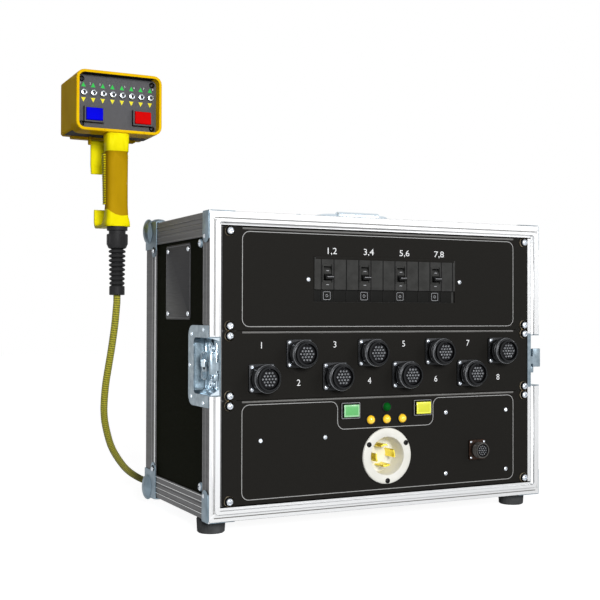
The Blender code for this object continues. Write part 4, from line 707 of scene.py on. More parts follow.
# Side hardware: cup washers with screws near the front, bracket rivets, ball corner rivets
sideHardware = {"inset": 0.0023, "screws": ((0.0365, 0.373), (0.0336, 0.0601)), "washer": 0.0062, "head": 0.0046,
                "rivets": ((0.0166, 0.3807, 0.0002), (0.0166, 0.0510, 0.0002), (0.2139, 0.372, 0.0019),
                           (0.2139, 0.0597, 0.0019))}
sideSeats, sideRivets = [], []
for side, sign in (("left", -1), ("right", 1)):
    face = sign * (casePlan["halfWidth"] - sideHardware["inset"])
    sideSeats += [seat(side, face, y, z, 40 * i) for i, (y, z) in enumerate(sideHardware["screws"])]
    sideRivets += [seat(side, sign * (casePlan["halfWidth"] + proud), y, z) for y, z, proud in sideHardware["rivets"]]
stampAll("side_washers", cupWasherMesh(sideHardware["washer"], 0.0024), sideSeats, "nickel")
stampAll("side_screws", screwMesh(sideHardware["head"], 0.003),
         [m @ Matrix.Translation((0, 0, 0.001)) for m in sideSeats], "screw")
# a black ring behind each rivet, set off to one side, is a painted shadow
stampAll("rivet_painted_shadows", latheMesh([(0, 0.0006), (0.0040, 0.0006), (0.0043, 0.0003), (0.0043, 0), (0, 0)], 24),
         [m @ Matrix.Translation((0.0012, 0, 0)) for m in sideRivets], "gap black")
stampAll("side_rivets", rivetMesh(0.0034, 0.0026), sideRivets, "screw")


# A bare label plate on the left side, riveted at its corners
labelPlan = {"front": 0.074, "rear": 0.169, "low": 0.274, "high": 0.376, "radius": 0.004, "thick": 0.0009,
             "inset": 0.0022, "rivetInset": 0.008, "line": 0.0005, "lineRadius": 0.003}
labelMiddle = ((labelPlan["front"] + labelPlan["rear"]) / 2, (labelPlan["low"] + labelPlan["high"]) / 2)
labelHalf = ((labelPlan["rear"] - labelPlan["front"]) / 2, (labelPlan["high"] - labelPlan["low"]) / 2)
labelFace = -(casePlan["halfWidth"] - sideHardware["inset"])
labelSeat = Matrix.Translation(spot(labelFace, *labelMiddle)) @ facingLeft
shape = bmesh.new()
addMesh(shape, plateMesh(roundedOutline(-labelHalf[0], labelHalf[0], -labelHalf[1], labelHalf[1],
                                        labelPlan["radius"]), labelPlan["thick"], 0.0003), labelSeat)
newPiece("label_plate", shape, "label")
shape = bmesh.new()
inset = labelPlan["inset"]
addLine(shape, roundedOutline(-labelHalf[0] + inset, labelHalf[0] - inset, -labelHalf[1] + inset,
                              labelHalf[1] - inset, labelPlan["lineRadius"]), labelPlan["line"],
        spot(labelFace - labelPlan["thick"], *labelMiddle), facingLeft)
newPiece("label_border", shape, "label print")
stampAll("label_rivets", rivetMesh(0.0034, 0.0019),
         [seat("left", labelFace - labelPlan["thick"], y, z)
          for y in (labelPlan["front"] + labelPlan["rivetInset"], labelPlan["rear"] - labelPlan["rivetInset"])
          for z in (labelPlan["low"] + labelPlan["rivetInset"], labelPlan["high"] - labelPlan["rivetInset"])], "screw")
print("side hardware made")


# Case metal: a merged copy of the front frame, each face painted by which way it looks
def copyOfNode(name):
    shape = bmesh.new()
    shape.from_mesh(nodes[name].data)
    bmesh.ops.transform(shape, matrix=nodes[name].matrix_world, verts=shape.verts)
    bmesh.ops.remove_doubles(shape, verts=shape.verts, dist=0.000001)
    return shape


framePlan = {"beyond": 0.0003, "faceDepth": 0.0016}
middle, tall = (casePlan["low"] + casePlan["high"]) / 2, (casePlan["high"] - casePlan["low"]) / 2
shape = copyOfNode("front_frame")
for face in shape.faces:
    place = face.calc_center_median() - caseFront
    outside = (abs(place.x) > casePlan["halfWidth"] + framePlan["beyond"]
               or abs(place.z - middle) > tall + framePlan["beyond"])
    face.material_index = 2 if outside else 0 if place.y < framePlan["faceDepth"] else 1
newPiece("front_frame_extrusion", shape, ("aluminium", "edge aluminium", "nickel"), stands=("front_frame",), angle=12)

# Ridges along the long profiles
ridgePlan = {"start": 0.0236, "end": 0.2055, "proud": 0.00045, "sunk": 0.0002, "wide": 0.0008, "edge": 0.0002,
             "steps": (0.0078, 0.0154, 0.0230, 0.0304)}
start, stop, half = ridgePlan["start"], ridgePlan["end"], ridgePlan["wide"] / 2


def ridgeSpan(surface, way):
    return sorted((surface - way * ridgePlan["sunk"], surface + way * ridgePlan["proud"]))


for end, name, finish in ((-1, "bottom_ridges", "aluminium"), (1, "top_ridges", "faint ridge")):
    shape = bmesh.new()
    for side in (-1, 1):
        for step in ridgePlan["steps"]:
            z = caseEdge[end] - end * step
            low, high = ridgeSpan(side * casePlan["halfWidth"], side)
            addBlock(shape, spot(low, start, z - half), spot(high, stop, z + half), ridgePlan["edge"], 1)
            x = side * (casePlan["halfWidth"] - step)
            low, high = ridgeSpan(caseEdge[end], end)
            addBlock(shape, spot(x - half, start, low), spot(x + half, stop, high), ridgePlan["edge"], 1)
    newPiece(name, shape, finish)

# Upright legs: a bright lip by the laminate, a ridge up the middle
legPlan = {"bars": ((0.0222, 0.0014, 0.0530, 0.1620, 1), (0.0222, 0.0014, 0.2690, 0.3790, 1),
                    (0.0112, 0.0011, 0.0560, 0.1620, 1), (0.0112, 0.0011, 0.2690, 0.3760, 1),
                    (0.2108, 0.0036, 0.0520, 0.3800, 0), (0.2230, 0.0030, 0.0600, 0.3720, 1))}
shape = bmesh.new()
for side in (-1, 1):
    inner, outer = ridgeSpan(side * casePlan["halfWidth"], side)
    for y, wide, low, high, slot in legPlan["bars"]:
        colourFaces(addBlock(shape, spot(inner, y - wide / 2, low), spot(outer, y + wide / 2, high)), slot)
newPiece("leg_ridges", shape, ("aluminium", "faint ridge"))

# Thin grey lines painted on the front face as painted shadows along the extrusion's steps; the top and bottom ones also
# mark the profile's joint
jointShadowPlan = {"sideX": 0.2533, "bottomZ": 0.02475, "topZ": 0.40360, "low": 0.0300, "high": 0.4020,
            "half": {-1: 0.0010, 0: 0.00065, 1: 0.00065}, "pocket": (0.1762, 0.2544), "depth": (-0.00025, 0.0002)}
pocketLow, pocketHigh = jointShadowPlan["pocket"]
front, back = jointShadowPlan["depth"]
shape = bmesh.new()
for side in (-1, 1):
    x, half = side * jointShadowPlan["sideX"], jointShadowPlan["half"][side]
    for low, high in ((jointShadowPlan["low"], pocketLow), (pocketHigh, jointShadowPlan["high"])):
        colourFaces(addBlock(shape, spot(x - half, front, low), spot(x + half, back, high)), 1)
x, half = jointShadowPlan["sideX"], jointShadowPlan["half"][0]
for z in (jointShadowPlan["bottomZ"], jointShadowPlan["topZ"]):
    addBlock(shape, spot(-x, front, z - half), spot(x, back, z + half))
newPiece("frame_joints_and_shadows", shape, ("edge shade", "pale shade"))

# The right upright's inner edge: a pale lip over the panels' ears, bare plate at the latch
lipPlan = {"x": (0.2397, 0.2449), "y": (0.0003, 0.0018), "low": 0.0385, "high": 0.3934}
(inner, outer), (front, back) = lipPlan["x"], lipPlan["y"]
shape = bmesh.new()
for low, high, slot in ((lipPlan["low"], pocketLow, 0), (pocketHigh, lipPlan["high"], 0), (pocketLow, pocketHigh, 1)):
    colourFaces(addBlock(shape, spot(inner, front, low), spot(outer, back, high)), slot)
newPiece("right_lip", shape, ("aluminium", "latch nickel"))

# Lobed ends on the corner brackets
bracketPlan = {"y": 0.0118, "half": 0.0107, "reach": 0.040, "thick": 0.0006, "proud": 0.0009}
lobe = plateMesh(arcPoints(0, bracketPlan["reach"] - bracketPlan["half"], bracketPlan["half"], 0, 180, 12)
                 + [(-bracketPlan["half"], 0.0004), (bracketPlan["half"], 0.0004)], bracketPlan["thick"], 0.0003)
shape = bmesh.new()
for side in (-1, 1):
    for end in (-1, 1):
        flat = Matrix(((0, 0, side, 0), (1, 0, 0, 0), (0, -end, 0, 0), (0, 0, 0, 1)))
        place = spot(side * (casePlan["halfWidth"] + bracketPlan["proud"]), bracketPlan["y"], caseEdge[end])
        addMesh(shape, lobe, Matrix.Translation(place) @ flat)
bmesh.ops.recalc_face_normals(shape, faces=shape.faces)
newPiece("bracket_lobes", shape, "nickel")

# The rear ball corners are drawn out into a long bulge down each side
bulgePlan = {"x": 0.2600, "y": 0.2402, "drop": 0.0112, "lean": 22, "size": (0.0073, 0.0168, 0.0190)}
shape = bmesh.new()
for side in (-1, 1):
    for end in (-1, 1):
        place = spot(side * bulgePlan["x"], bulgePlan["y"], caseEdge[end] - end * bulgePlan["drop"])
        lean = Matrix.Rotation(-end * math.radians(bulgePlan["lean"]), 4, "X")
        bmesh.ops.create_uvsphere(shape, u_segments=28, v_segments=18, radius=1.0,
                                  matrix=Matrix.Translation(place) @ lean @ Matrix.Diagonal((*bulgePlan["size"], 1.0)))
newPiece("corner_bulges", shape, "nickel")
print("case metal made")


# Latches: rivets round the dish, ribs and springs on its floor
latchPlan = {"z": 0.21525, "floor": 0.24555, "flange": 0.26125,
             "rivets": ((0.018, 0.0465), (0.0600, 0.0405), (0.0665, 0.0), (0.0600, -0.0405), (0.018, -0.0465)),
             "liners": (((0.0003, 0.0010, -0.0360), (0.0007, 0.0180, 0.0360)),
                        ((0.0003, 0.0380, -0.0300), (0.0007, 0.0510, 0.0300)),
                        ((0.0010, 0.0506, -0.0290), (0.0140, 0.0518, 0.0290))),
             "lips": {-1: 0.0080, 1: 0.0050}, "ribs": (0.0105, 0.0465), "studs": (0.0265, -0.0265), "studY": 0.028,
             "springs": ((0.0190, 0.0225), (0.0190, -0.0225)), "coils": (0.0012, 0.0030, 0.0048),
             "hook": {-1: 0.0125, 1: 0.0183}}
lips = {end: plateMesh([(0, 0), (0.0136, 0), (0.0136, 0.0004), (0.0004, tall), (0, tall)], 0.0430)
        for end, tall in latchPlan["lips"].items()}
springRing = latheMesh([(0.0040 + 0.0009 * math.cos(a), 0.0009 * math.sin(a)) for a in
                        [2 * math.pi * i / 8 for i in range(9)]], 24)


def addLatchBlock(shape, sign, low, high, edge=0.0):
    # a block in one latch: out from the dish's floor, back from the case's front, up from the latch's middle
    across = sorted((sign * (latchPlan["floor"] + low[0]), sign * (latchPlan["floor"] + high[0])))
    addBlock(shape, spot(across[0], low[1], latchPlan["z"] + low[2]),
             spot(across[1], high[1], latchPlan["z"] + high[2]), edge)


for side, sign in (("left", -1), ("right", 1)):
    # liners on the dish's floor and rear wall: a pale nickel painted as a sheen on the left, the dish's own nickel on
    # the right
    shape = bmesh.new()
    for low, high in latchPlan["liners"]:
        addLatchBlock(shape, sign, low, high)
    newPiece("latch_liner_" + side, shape, "pale liner" if sign < 0 else "latch nickel")
    shape = bmesh.new()
    if side == "left":
        for end in (-1, 1):
            flat = Matrix(((sign, 0, 0, 0), (0, 0, 1, 0), (0, -end, 0, 0), (0, 0, 0, 1)))
            place = spot(sign * (latchPlan["floor"] + 0.0005), 0.0008, latchPlan["z"] + end * 0.0371)
            addMesh(shape, lips[end], Matrix.Translation(place) @ flat)
    for y, z in latchPlan["rivets"]:
        addMesh(shape, rivetMesh(0.0028, 0.0015), seat(side, sign * latchPlan["flange"], y, latchPlan["z"] + z))
    for y in latchPlan["ribs"]:
        addLatchBlock(shape, sign, (0.0, y - 0.0012, -0.029), (0.0014, y + 0.0012, 0.029), 0.0006)
    for z in latchPlan["studs"]:
        addMesh(shape, rivetMesh(0.0032, 0.0018),
                seat(side, sign * (latchPlan["floor"] + 0.0024), latchPlan["studY"], latchPlan["z"] + z))
    for y, z in latchPlan["springs"]:
        for lift in latchPlan["coils"]:
            addMesh(shape, springRing, seat(side, sign * (latchPlan["floor"] + lift), y, latchPlan["z"] + z))
        low, high = sorted((z, z - math.copysign(0.01425, z)))
        addLatchBlock(shape, sign, (0.0008, y - 0.0016, low), (0.0052, y + 0.0016, high), 0.0006)
    bmesh.ops.recalc_face_normals(shape, faces=shape.faces)
    newPiece("latch_details_" + side, shape, "bright nickel")
    shape = bmesh.new()
    addLatchBlock(shape, sign, (0.0110, 0.0215, -0.0015), (0.0128, 0.0345, 0.0085), 0.0006)
    newPiece("wing_pad_" + side, shape, "bright nickel", "latch_wing_" + side)
    # the draw hook stands at the mouth of the dish, its catch below it
    shape = bmesh.new()
    addLatchBlock(shape, sign, (0.0045, 0.0012, -0.0100), (latchPlan["hook"][sign], 0.0064, 0.0168), 0.0009)
    addLatchBlock(shape, sign, (0.0015, 0.0026, -0.0185), (0.0070, 0.0060, -0.0096), 0.0007)
    newPiece("draw_hook_" + side, shape, "latch nickel")
print("latches made")


# Folded top edge of each rack panel, between its ears; the rod is painted lighter than the panel as a painted highlight
# on the bend
panelEdges = {"input": (0.03805, 0.1714), "output": (0.1714, 0.2603), "breaker": (0.2603, 0.39365)}
foldPlan = {"half": 0.2145, "radius": 0.0017, "below": 0.0022, "proud": 0.0006}
shape = bmesh.new()
for low, high in panelEdges.values():
    y, z = casePlan["panelY"] - foldPlan["proud"] + foldPlan["radius"], high - foldPlan["below"]
    addRod(shape, spot(-foldPlan["half"], y, z), spot(foldPlan["half"], y, z), foldPlan["radius"], 20)
newPiece("panel_folds", shape, "worn steel")

# Printed outlines and numbers
printPlan = {"inset": 0.006, "half": 0.2145, "radius": 0.010, "line": 0.0009, "notch": 0.0757, "notchLow": 0.1282,
             "ink": 0.00006, "connectorPitch": 0.05356, "digits": 0.0086, "stretch": 1.18,
             "pairs": (-0.0855, -0.0285, 0.0285, 0.0855), "pairZ": 0.3656, "odd": (-0.1875, -0.080, 0.0275, 0.1345),
             "oddZ": 0.2411, "evenZ": 0.1916}
inkY = casePlan["panelY"] - printPlan["ink"]
r, half, notch, dip = printPlan["radius"], printPlan["half"], printPlan["notch"], printPlan["notchLow"]
shape = bmesh.new()
low, high = panelEdges["breaker"][0] + printPlan["inset"] - 0.0008, panelEdges["breaker"][1] - printPlan["inset"]
addLine(shape, roundedOutline(-half, half, low, high, r), printPlan["line"], spot(0, inkY, 0))
low, high = panelEdges["input"][0] + printPlan["inset"], panelEdges["input"][1] - printPlan["inset"]
outline = (arcPoints(half - r, low + r, r, -90, 0) + arcPoints(half - r, high - r, r, 0, 90)
           + arcPoints(notch + r, high - r, r, 90, 180) + arcPoints(notch - r, dip + r, r, 0, -90)
           + arcPoints(-notch + r, dip + r, r, -90, -180) + arcPoints(-notch - r, high - r, r, 0, 90)
           + arcPoints(-half + r, high - r, r, 90, 180) + arcPoints(-half + r, low + r, r, 180, 270))
addLine(shape, outline, printPlan["line"], spot(0, inkY, 0))
newPiece("panel_lines", shape, "line print")
shape = bmesh.new()
connectorX = [(k - 3.5) * printPlan["connectorPitch"] for k in range(8)]
for k, x in enumerate(printPlan["pairs"]):
    addText(shape, "%d,%d" % (2 * k + 1, 2 * k + 2), spot(x, inkY, printPlan["pairZ"]), printPlan["digits"],
            printPlan["stretch"])
for k, x in enumerate(printPlan["odd"]):
    addText(shape, str(2 * k + 1), spot(x, inkY, printPlan["oddZ"]), printPlan["digits"])
    addText(shape, str(2 * k + 2), spot(connectorX[2 * k + 1], inkY, printPlan["evenZ"]), printPlan["digits"])
newPiece("panel_numbers", shape, "print")
print("panel prints made")

# Breaker bank: module seams, a dark lower strip, and small marks and squares by the handles
breakerPlan = {"window": (-0.112, 0.112, 0.298), "nose": (0.3145, 0.3575), "first": -0.1015, "module": 0.019,
               "handles": (-0.092, -0.035, 0.022, 0.079), "pivotZ": 0.336, "noseY": 0.0006, "seam and shade black": 0.0007,
               "coverY": (0.0029, 0.0041), "coverGap": 0.0004}
noseY, pivotZ, gap = breakerPlan["noseY"], breakerPlan["pivotZ"], breakerPlan["coverGap"]
noseLow, noseHigh = breakerPlan["nose"]
left, right, low = breakerPlan["window"]
front, back = breakerPlan["coverY"]
seams = [breakerPlan["first"] + breakerPlan["module"] * k for k in range(12)]
shape = bmesh.new()
for x in seams:
    addBlock(shape, spot(x - breakerPlan["seam and shade black"], noseY - 0.00012, noseLow),
             spot(x + breakerPlan["seam and shade black"], noseY + 0.0002, noseHigh))
newPiece("breaker_seams", shape, "gap black")
shape = bmesh.new()
for start, end in zip([left + gap] + seams, seams):
    addBlock(shape, spot(start + gap, front, low + 0.0006), spot(end - gap, back, noseLow - gap), 0.0003)
newPiece("breaker_lower_covers", shape, "strip black")
squarePlan = {"y": 0.00285, "half": 0.0052, "low": 0.3012, "high": 0.3116, "radius": 0.0012, "line": 0.00055,
              "ring": (0.3064, 0.0017), "ringLine": 0.0006, "dash": (0.0020, 0.0005), "below": 0.0150, "above": 0.0036}
ink, half, (dash, thin) = spot(0, squarePlan["y"], 0), squarePlan["half"], squarePlan["dash"]
shape = bmesh.new()
for x in breakerPlan["handles"]:
    addLine(shape, roundedOutline(x - half, x + half, squarePlan["low"], squarePlan["high"], squarePlan["radius"], 3),
            squarePlan["line"], ink)
    addLine(shape, arcPoints(x, *squarePlan["ring"], 0, 330, 10), squarePlan["ringLine"], ink)
    z = pivotZ - squarePlan["below"]
    addBlock(shape, spot(x - dash, noseY - 0.00008, z - thin), spot(x + dash, noseY + 0.0001, z + thin))
newPiece("breaker_marks", shape, "label print")
guardPlan = {"x": 0.0071, "half": 0.0008, "proud": 0.0012, "reach": 0.0115, "fillerHalf": 0.0060, "fillerZ": 0.0110,
             "fillerTall": 0.0017}
wide, half, reach, tall = (guardPlan[key] for key in ("fillerHalf", "half", "reach", "fillerTall"))
shape = bmesh.new()
for x in breakerPlan["handles"]:
    for side in (-1, 1):
        # a guard on each side of the handle, with a rounded face
        middle = x + side * guardPlan["x"]
        addBlock(shape, spot(middle - half, noseY - guardPlan["proud"], pivotZ - reach),
                 spot(middle + half, noseY + 0.0002, pivotZ + reach), 0.0005)
        # a filler closes the slot beyond the handle's swing
        z = pivotZ + side * guardPlan["fillerZ"]
        addBlock(shape, spot(x - wide, noseY + 0.0004, z - tall), spot(x + wide, noseY + 0.0060, z + tall), 0.0003)
newPiece("breaker_guards", shape, "breaker")
drum = latheMesh([(0, -0.0056), (0.0084, -0.0056), (0.0090, -0.0050), (0.0090, 0.0050), (0.0084, 0.0056),
                  (0, 0.0056)], 40)
for k, x in enumerate(breakerPlan["handles"]):
    body = "breaker_handle_%d" % (k + 1)
    shape = bmesh.new()
    addMesh(shape, drum, Matrix.Translation(spot(x, 0.009, pivotZ)) @ turnTo((1, 0, 0)))
    # the upper mark is printed on the drum; on the handle's upper edge a pale line is a painted highlight, with a pale
    # dot below it
    z = pivotZ + squarePlan["above"]
    marksAndHighlight = addBlock(shape, spot(x - dash, 0.0002, z - thin), spot(x + dash, 0.0008, z + thin))
    handle = copyOfNode(body)
    edge = max((v.co - caseFront for v in handle.verts), key=lambda c: c.z - 0.8 * c.y)
    handle.free()
    for low, high in (((-0.0036, -0.0004, -0.0004), (0.0060, 0.0006, 0.0003)),
                      ((0.0006, 0.0004, -0.0034), (0.0024, 0.0022, -0.0021))):
        marksAndHighlight += addBlock(shape, spot(x + low[0], edge.y + low[1], edge.z + low[2]),
                          spot(x + high[0], edge.y + high[1], edge.z + high[2]))
    colourFaces(marksAndHighlight, 1)
    newPiece("breaker_drum_%d" % (k + 1), shape, ("breaker", "label print"), body)

# The panel's edge comes down a little over the modules
shape = bmesh.new()
addBlock(shape, spot(left + 0.0020, noseY - 0.0004, noseHigh - 0.0028),
         spot(right - 0.0020, 0.0018, noseHigh + 0.0012), 0.0003)
newPiece("breaker_top_lip", shape, "steel")
print("breaker bank made")


# Motor connectors: flange, threaded shell, insert with raised contacts
connectorPlan = {"flange": 0.0185, "flangeThick": 0.0028, "screw": 0.0144, "low": 0.1992, "high": 0.2302}
contactPlan = {"pitch": 0.0044, "row": 0.866, "reach": 2.1, "foot": 0.0019, "tip": 0.0016, "tall": 0.0016, "z": 0.0243,
               "wall": 0.0007, "dip": 0.0009}


def contactsMesh(plan):
    # hollow pins in a hexagonal pattern
    contacts, pitch = bmesh.new(), plan["pitch"]
    for row in range(-2, 3):
        for column in range(-2, 3):
            x, y = pitch * (column + row / 2), pitch * row * plan["row"]
            if math.hypot(x, y) < pitch * plan["reach"]:
                made = bmesh.ops.create_cone(contacts, cap_ends=True, segments=8, radius1=plan["foot"],
                                             radius2=plan["tip"], depth=plan["tall"],
                                             matrix=Matrix.Translation((x, y, plan["z"])))["verts"]
                hole = {f for v in made for f in v.link_faces if f.normal.z > 0.9}
                bmesh.ops.inset_region(contacts, faces=list(hole), thickness=plan["wall"], depth=-plan["dip"])
    return meshOf(contacts, "contacts")


def paint(mesh, slot):
    for face in mesh.polygons:
        face.material_index = slot
    return mesh


half, thick, out = connectorPlan["flange"], connectorPlan["flangeThick"], connectorPlan["screw"]
connectorParts = [
    paint(plateMesh(roundedOutline(-half, half, -half, half, 0.0035), thick, 0.0005), 0),
    # the shell, from its open mouth back over the coupling thread to the flange
    paint(latheMesh([(0.0131, 0.0195), (0.0131, 0.0262), (0.0134, 0.0269), (0.0150, 0.0269), (0.0156, 0.0263),
                     (0.0158, 0.0222), (0.0174, 0.0218), (0.0179, 0.0213), (0.0179, 0.0208), (0.0170, 0.0205),
                     (0.0181, 0.0198), (0.0181, 0.0180), (0.0168, 0.0172), (0.0168, 0.0160), (0.0179, 0.0153),
                     (0.0179, 0.0136), (0.0168, 0.0128), (0.0168, 0.0112), (0.0176, 0.0104), (0.0176, 0.0088),
                     (0.0163, 0.0078), (0.0163, 0.0026), (0.0131, 0.0026), (0.0131, 0.0195)], 40), 0),
    # the insert, its contacts, and a small key inside the shell's mouth
    paint(latheMesh([(0, 0.0238), (0.0122, 0.0238), (0.0127, 0.0232), (0.0131, 0.0190), (0, 0.0190)], 32), 1),
    paint(contactsMesh(contactPlan), 2),
    paint(boxMesh((-0.0012, 0.0118, 0.0232), (0.0012, 0.0134, 0.0258), 0.0003), 0),
]
# pale rings along the edges of the two front rings are painted highlights
for z in (0.0212, 0.0196):
    connectorParts.append(paint(latheMesh([(0.0174, z), (0.0179, z + 0.0004), (0.0182, z + 0.0001),
                                           (0.0182, z - 0.0004), (0.0174, z)], 40), 2))
smallScrew = paint(screwMesh(0.0025, 0.0017), 3)
smallCup = paint(latheMesh([(0.0030, 0.0), (0.0030, 0.0006), (0.0026, 0.0009), (0.0022, 0.0002), (0.0022, 0.0),
                            (0.0030, 0.0)], 20), 2)
for k, x in enumerate(connectorX):
    place = seat("front", x, casePlan["panelY"], connectorPlan["high"] if k % 2 else connectorPlan["low"])
    shape = bmesh.new()
    for part in connectorParts:
        addMesh(shape, part, place)
    for i, (sx, sy) in enumerate(((-1, -1), (1, -1), (-1, 1), (1, 1))):
        corner = place @ Matrix.Translation((sx * out, sy * out, thick)) @ Matrix.Rotation(0.6 * i + k, 4, "Z")
        addMesh(shape, smallCup, corner)
        addMesh(shape, smallScrew, corner)
    newPiece("motor_connector_%d" % (k + 1), shape, ("connector", "insert", "contact", "screw"),
             stands=("connector_%d" % (k + 1),))
print("connectors made")


# Power inlet: nylon cup, brass blades, three screws
inletPlan = {"z": 0.089, "radius": 0.0380, "bore": 0.0257, "floor": -0.0277, "blades": (8, 98, 188, 278),
             "screwRing": 0.0335, "screws": (30, 150, 270)}
inletSeat = seat("front", 0, 0, inletPlan["z"])
edge, bore, floor = inletPlan["radius"], inletPlan["bore"], inletPlan["floor"]
cup = latheMesh([(0, floor), (bore - 0.003, floor), (bore - 0.0015, floor + 0.0015), (bore, -0.0004),
                 (bore + 0.0005, 0.0010), (bore + 0.0014, 0.0015), (bore + 0.0095, 0.0014), (edge - 0.0012, 0.0010),
                 (edge - 0.0002, 0.0003), (edge, -0.0004), (edge, -0.0017), (bore + 0.0025, -0.0017),
                 (bore + 0.0025, floor - 0.003), (0, floor - 0.003)], 72)
shape = bmesh.new()
addMesh(shape, cup, inletSeat)
newPiece("inlet_cup", shape, "nylon", stands=("inlet",), angle=40)
blade = plateMesh(arcPoints(0, 0, 0.0157, -22, 22, 8) + arcPoints(0, 0, 0.0134, 22, -22, 8), 0.0245, 0.0004)
bladeSeat = inletSeat @ Matrix.Translation((0, 0, floor - 0.001))
stampAll("inlet_blades", blade, [bladeSeat @ Matrix.Rotation(math.radians(a), 4, "Z") for a in inletPlan["blades"]],
         "brass")
stampAll("inlet_screws", screwMesh(0.0036, 0.0026),
         [inletSeat @ Matrix.Translation((*arcPoints(0, 0, inletPlan["screwRing"], a, a, 1)[0], 0.0010))
          for a in inletPlan["screws"]], "screen black")

# Lamps on their board, each in a dark ring
lampPlan = {"radius": 0.0060, "rise": 0.0042, "sunk": 0.0020,
            "places": ((-0.025, 0.1392, 1), (0.0, 0.1392, 1), (0.025, 0.1392, 1), (0.0, 0.1557, 2)),
            "board": ((-0.033, 0.0044, 0.1312), (0.033, 0.0058, 0.1637), 0.0003)}
radius, sunk = lampPlan["radius"], lampPlan["sunk"]
dome = latheMesh([(radius * math.sin(a), (lampPlan["rise"] + sunk) * math.cos(a) - sunk)
                  for a in (0.0, 0.2, 0.4, 0.6, 0.8, 1.0, 1.2, 1.4, 1.57)] + [(radius, -0.0045), (0, -0.0045)], 32)
rim = latheMesh([(0.0062, -0.0012), (0.0062, -0.0004), (0.0066, -0.0001), (0.0071, -0.0003), (0.0074, -0.0019),
                 (0.0062, -0.0019), (0.0062, -0.0012)], 32)
low, high, edge = lampPlan["board"]
shape = bmesh.new()
addBlock(shape, spot(*low), spot(*high), edge)
for x, z, slot in lampPlan["places"]:
    addMesh(shape, rim, seat("front", x, 0, z))
    addMesh(shape, paint(dome, slot), seat("front", x, 0, z))
newPiece("lamps", shape, ("panel black", "amber", "dark green"), stands=("lamp_board",))

# Push buttons: a paler legend field and a printed outline on each
buttonPlan = {"x": 0.057, "z": 0.1527, "wide": 0.012, "tall": 0.0085, "front": -0.004, "border": 0.0026,
              "outline": 0.0018, "shift": 0.0006, "line": 0.0007}
outlines = bmesh.new()
for sign, name in ((-1, "green"), (1, "yellow")):
    x, z = sign * buttonPlan["x"], buttonPlan["z"]
    wide, tall, front, border = (buttonPlan[key] for key in ("wide", "tall", "front", "border"))
    shape = bmesh.new()
    addBlock(shape, spot(x - wide + border, front - 0.0003, z - tall + border),
             spot(x + wide - border, front + 0.0004, z + tall - border), 0.0002)
    newPiece(name + "_button_field", shape, name + " field", name + "_button")
    x, wide, tall = x + buttonPlan["shift"], wide + buttonPlan["outline"], tall + buttonPlan["outline"]
    addLine(outlines, roundedOutline(x - wide, x + wide, z - tall, z + tall, 0.0012, 3), buttonPlan["line"],
            spot(0, 0.0001, 0))
# their caps are coloured in front and black down their sides
for body, finish in (("green_button", "green"), ("yellow_button", "cap")):
    shape = copyOfNode(body)
    for face in shape.faces:
        face.material_index = 1 if face.normal.y < -0.5 else 0
    newPiece(body + "_cap", shape, ("screen black", finish), body, stands=(body,))
newPiece("button_outlines", outlines, "label print")

# Remote socket: bronze flange, threaded barrel, insert with pins, four screws
socketPlan = {"x": 0.1495, "z": 0.0897, "flange": 0.014, "screw": 0.0110, "screwSize": 0.72,
              "pins": ((0.0, 1), (0.0030, 6), (0.0060, 12))}
socketSeat = seat("front", socketPlan["x"], 0, socketPlan["z"])
half, out = socketPlan["flange"], socketPlan["screw"]
shape = bmesh.new()
flange = plateMesh(roundedOutline(-half, half, -half, half, 0.002), 0.0025, 0.0004)
addMesh(shape, flange, socketSeat @ Matrix.Translation((0, 0, -0.0017)))
barrel = latheMesh([(0, 0.0050), (0.0088, 0.0050), (0.0090, 0.0120), (0.0093, 0.0140), (0.0104, 0.0140),
                    (0.0110, 0.0134), (0.0110, 0.0118), (0.0104, 0.0112), (0.0112, 0.0104), (0.0112, 0.0092),
                    (0.0104, 0.0086), (0.0112, 0.0078), (0.0112, 0.0066), (0.0104, 0.0060), (0.0112, 0.0052),
                    (0.0112, 0.0030), (0.0104, 0.0020), (0.0104, 0.0), (0, 0.0)], 36)
addMesh(shape, paint(barrel, 1), socketSeat)
insert = latheMesh([(0, 0.0128), (0.0086, 0.0128), (0.0090, 0.0124), (0.0088, 0.0048), (0, 0.0048)], 28)
addMesh(shape, paint(insert, 2), socketSeat)
pin = paint(latheMesh([(0, 0.0136), (0.0006, 0.0135), (0.0009, 0.0132), (0.0009, 0.0120), (0, 0.0120)], 10), 4)
for ring, count in socketPlan["pins"]:
    for i in range(count):
        turn = 2 * math.pi * i / count
        addMesh(shape, pin, socketSeat @ Matrix.Translation((ring * math.cos(turn), ring * math.sin(turn), 0)))
shrink = Matrix.Scale(socketPlan["screwSize"], 4)
for x in (-out, out):
    for y in (-out, out):
        addMesh(shape, smallScrew, socketSeat @ Matrix.Translation((x, y, 0.0007)) @ shrink)
newPiece("remote_socket_detail", shape, ("bronze flange", "socket shell", "insert", "screw", "contact"),
         stands=("remote_socket",))
print("input panel made")


# Pendant, measured from the middle of its face
pendantPlan = {"x": -0.3013, "z": 0.5887, "front": 0.250, "face": 0.265, "halfX": 0.0595, "halfZ": 0.0394,
               "radius": 0.0077, "toggleZ": 0.0127, "pitch": 0.0143, "sunk": 0.0032,
               "keys": ((-0.0355, "blue"), (0.037, "red")), "keyZ": -0.0187, "keyHalf": (0.01225, 0.009),
               "keyGap": 0.0004, "keyWall": 0.0024, "screws": (0.0530, 0.0325)}
px, pz, front, faceY = (pendantPlan[key] for key in ("x", "z", "front", "face"))
toggleX = [(k - 3.5) * pendantPlan["pitch"] for k in range(8)]


def onPendant(x, y, z):
    return seat("front", px + x, y, pz + z)


def keyBox(x, margin, low, high, edge=0.0):
    halfX, halfZ = pendantPlan["keyHalf"]
    z = pendantPlan["keyZ"]
    return boxMesh((x - halfX - margin, z - halfZ - margin, low), (x + halfX + margin, z + halfZ + margin, high), edge)


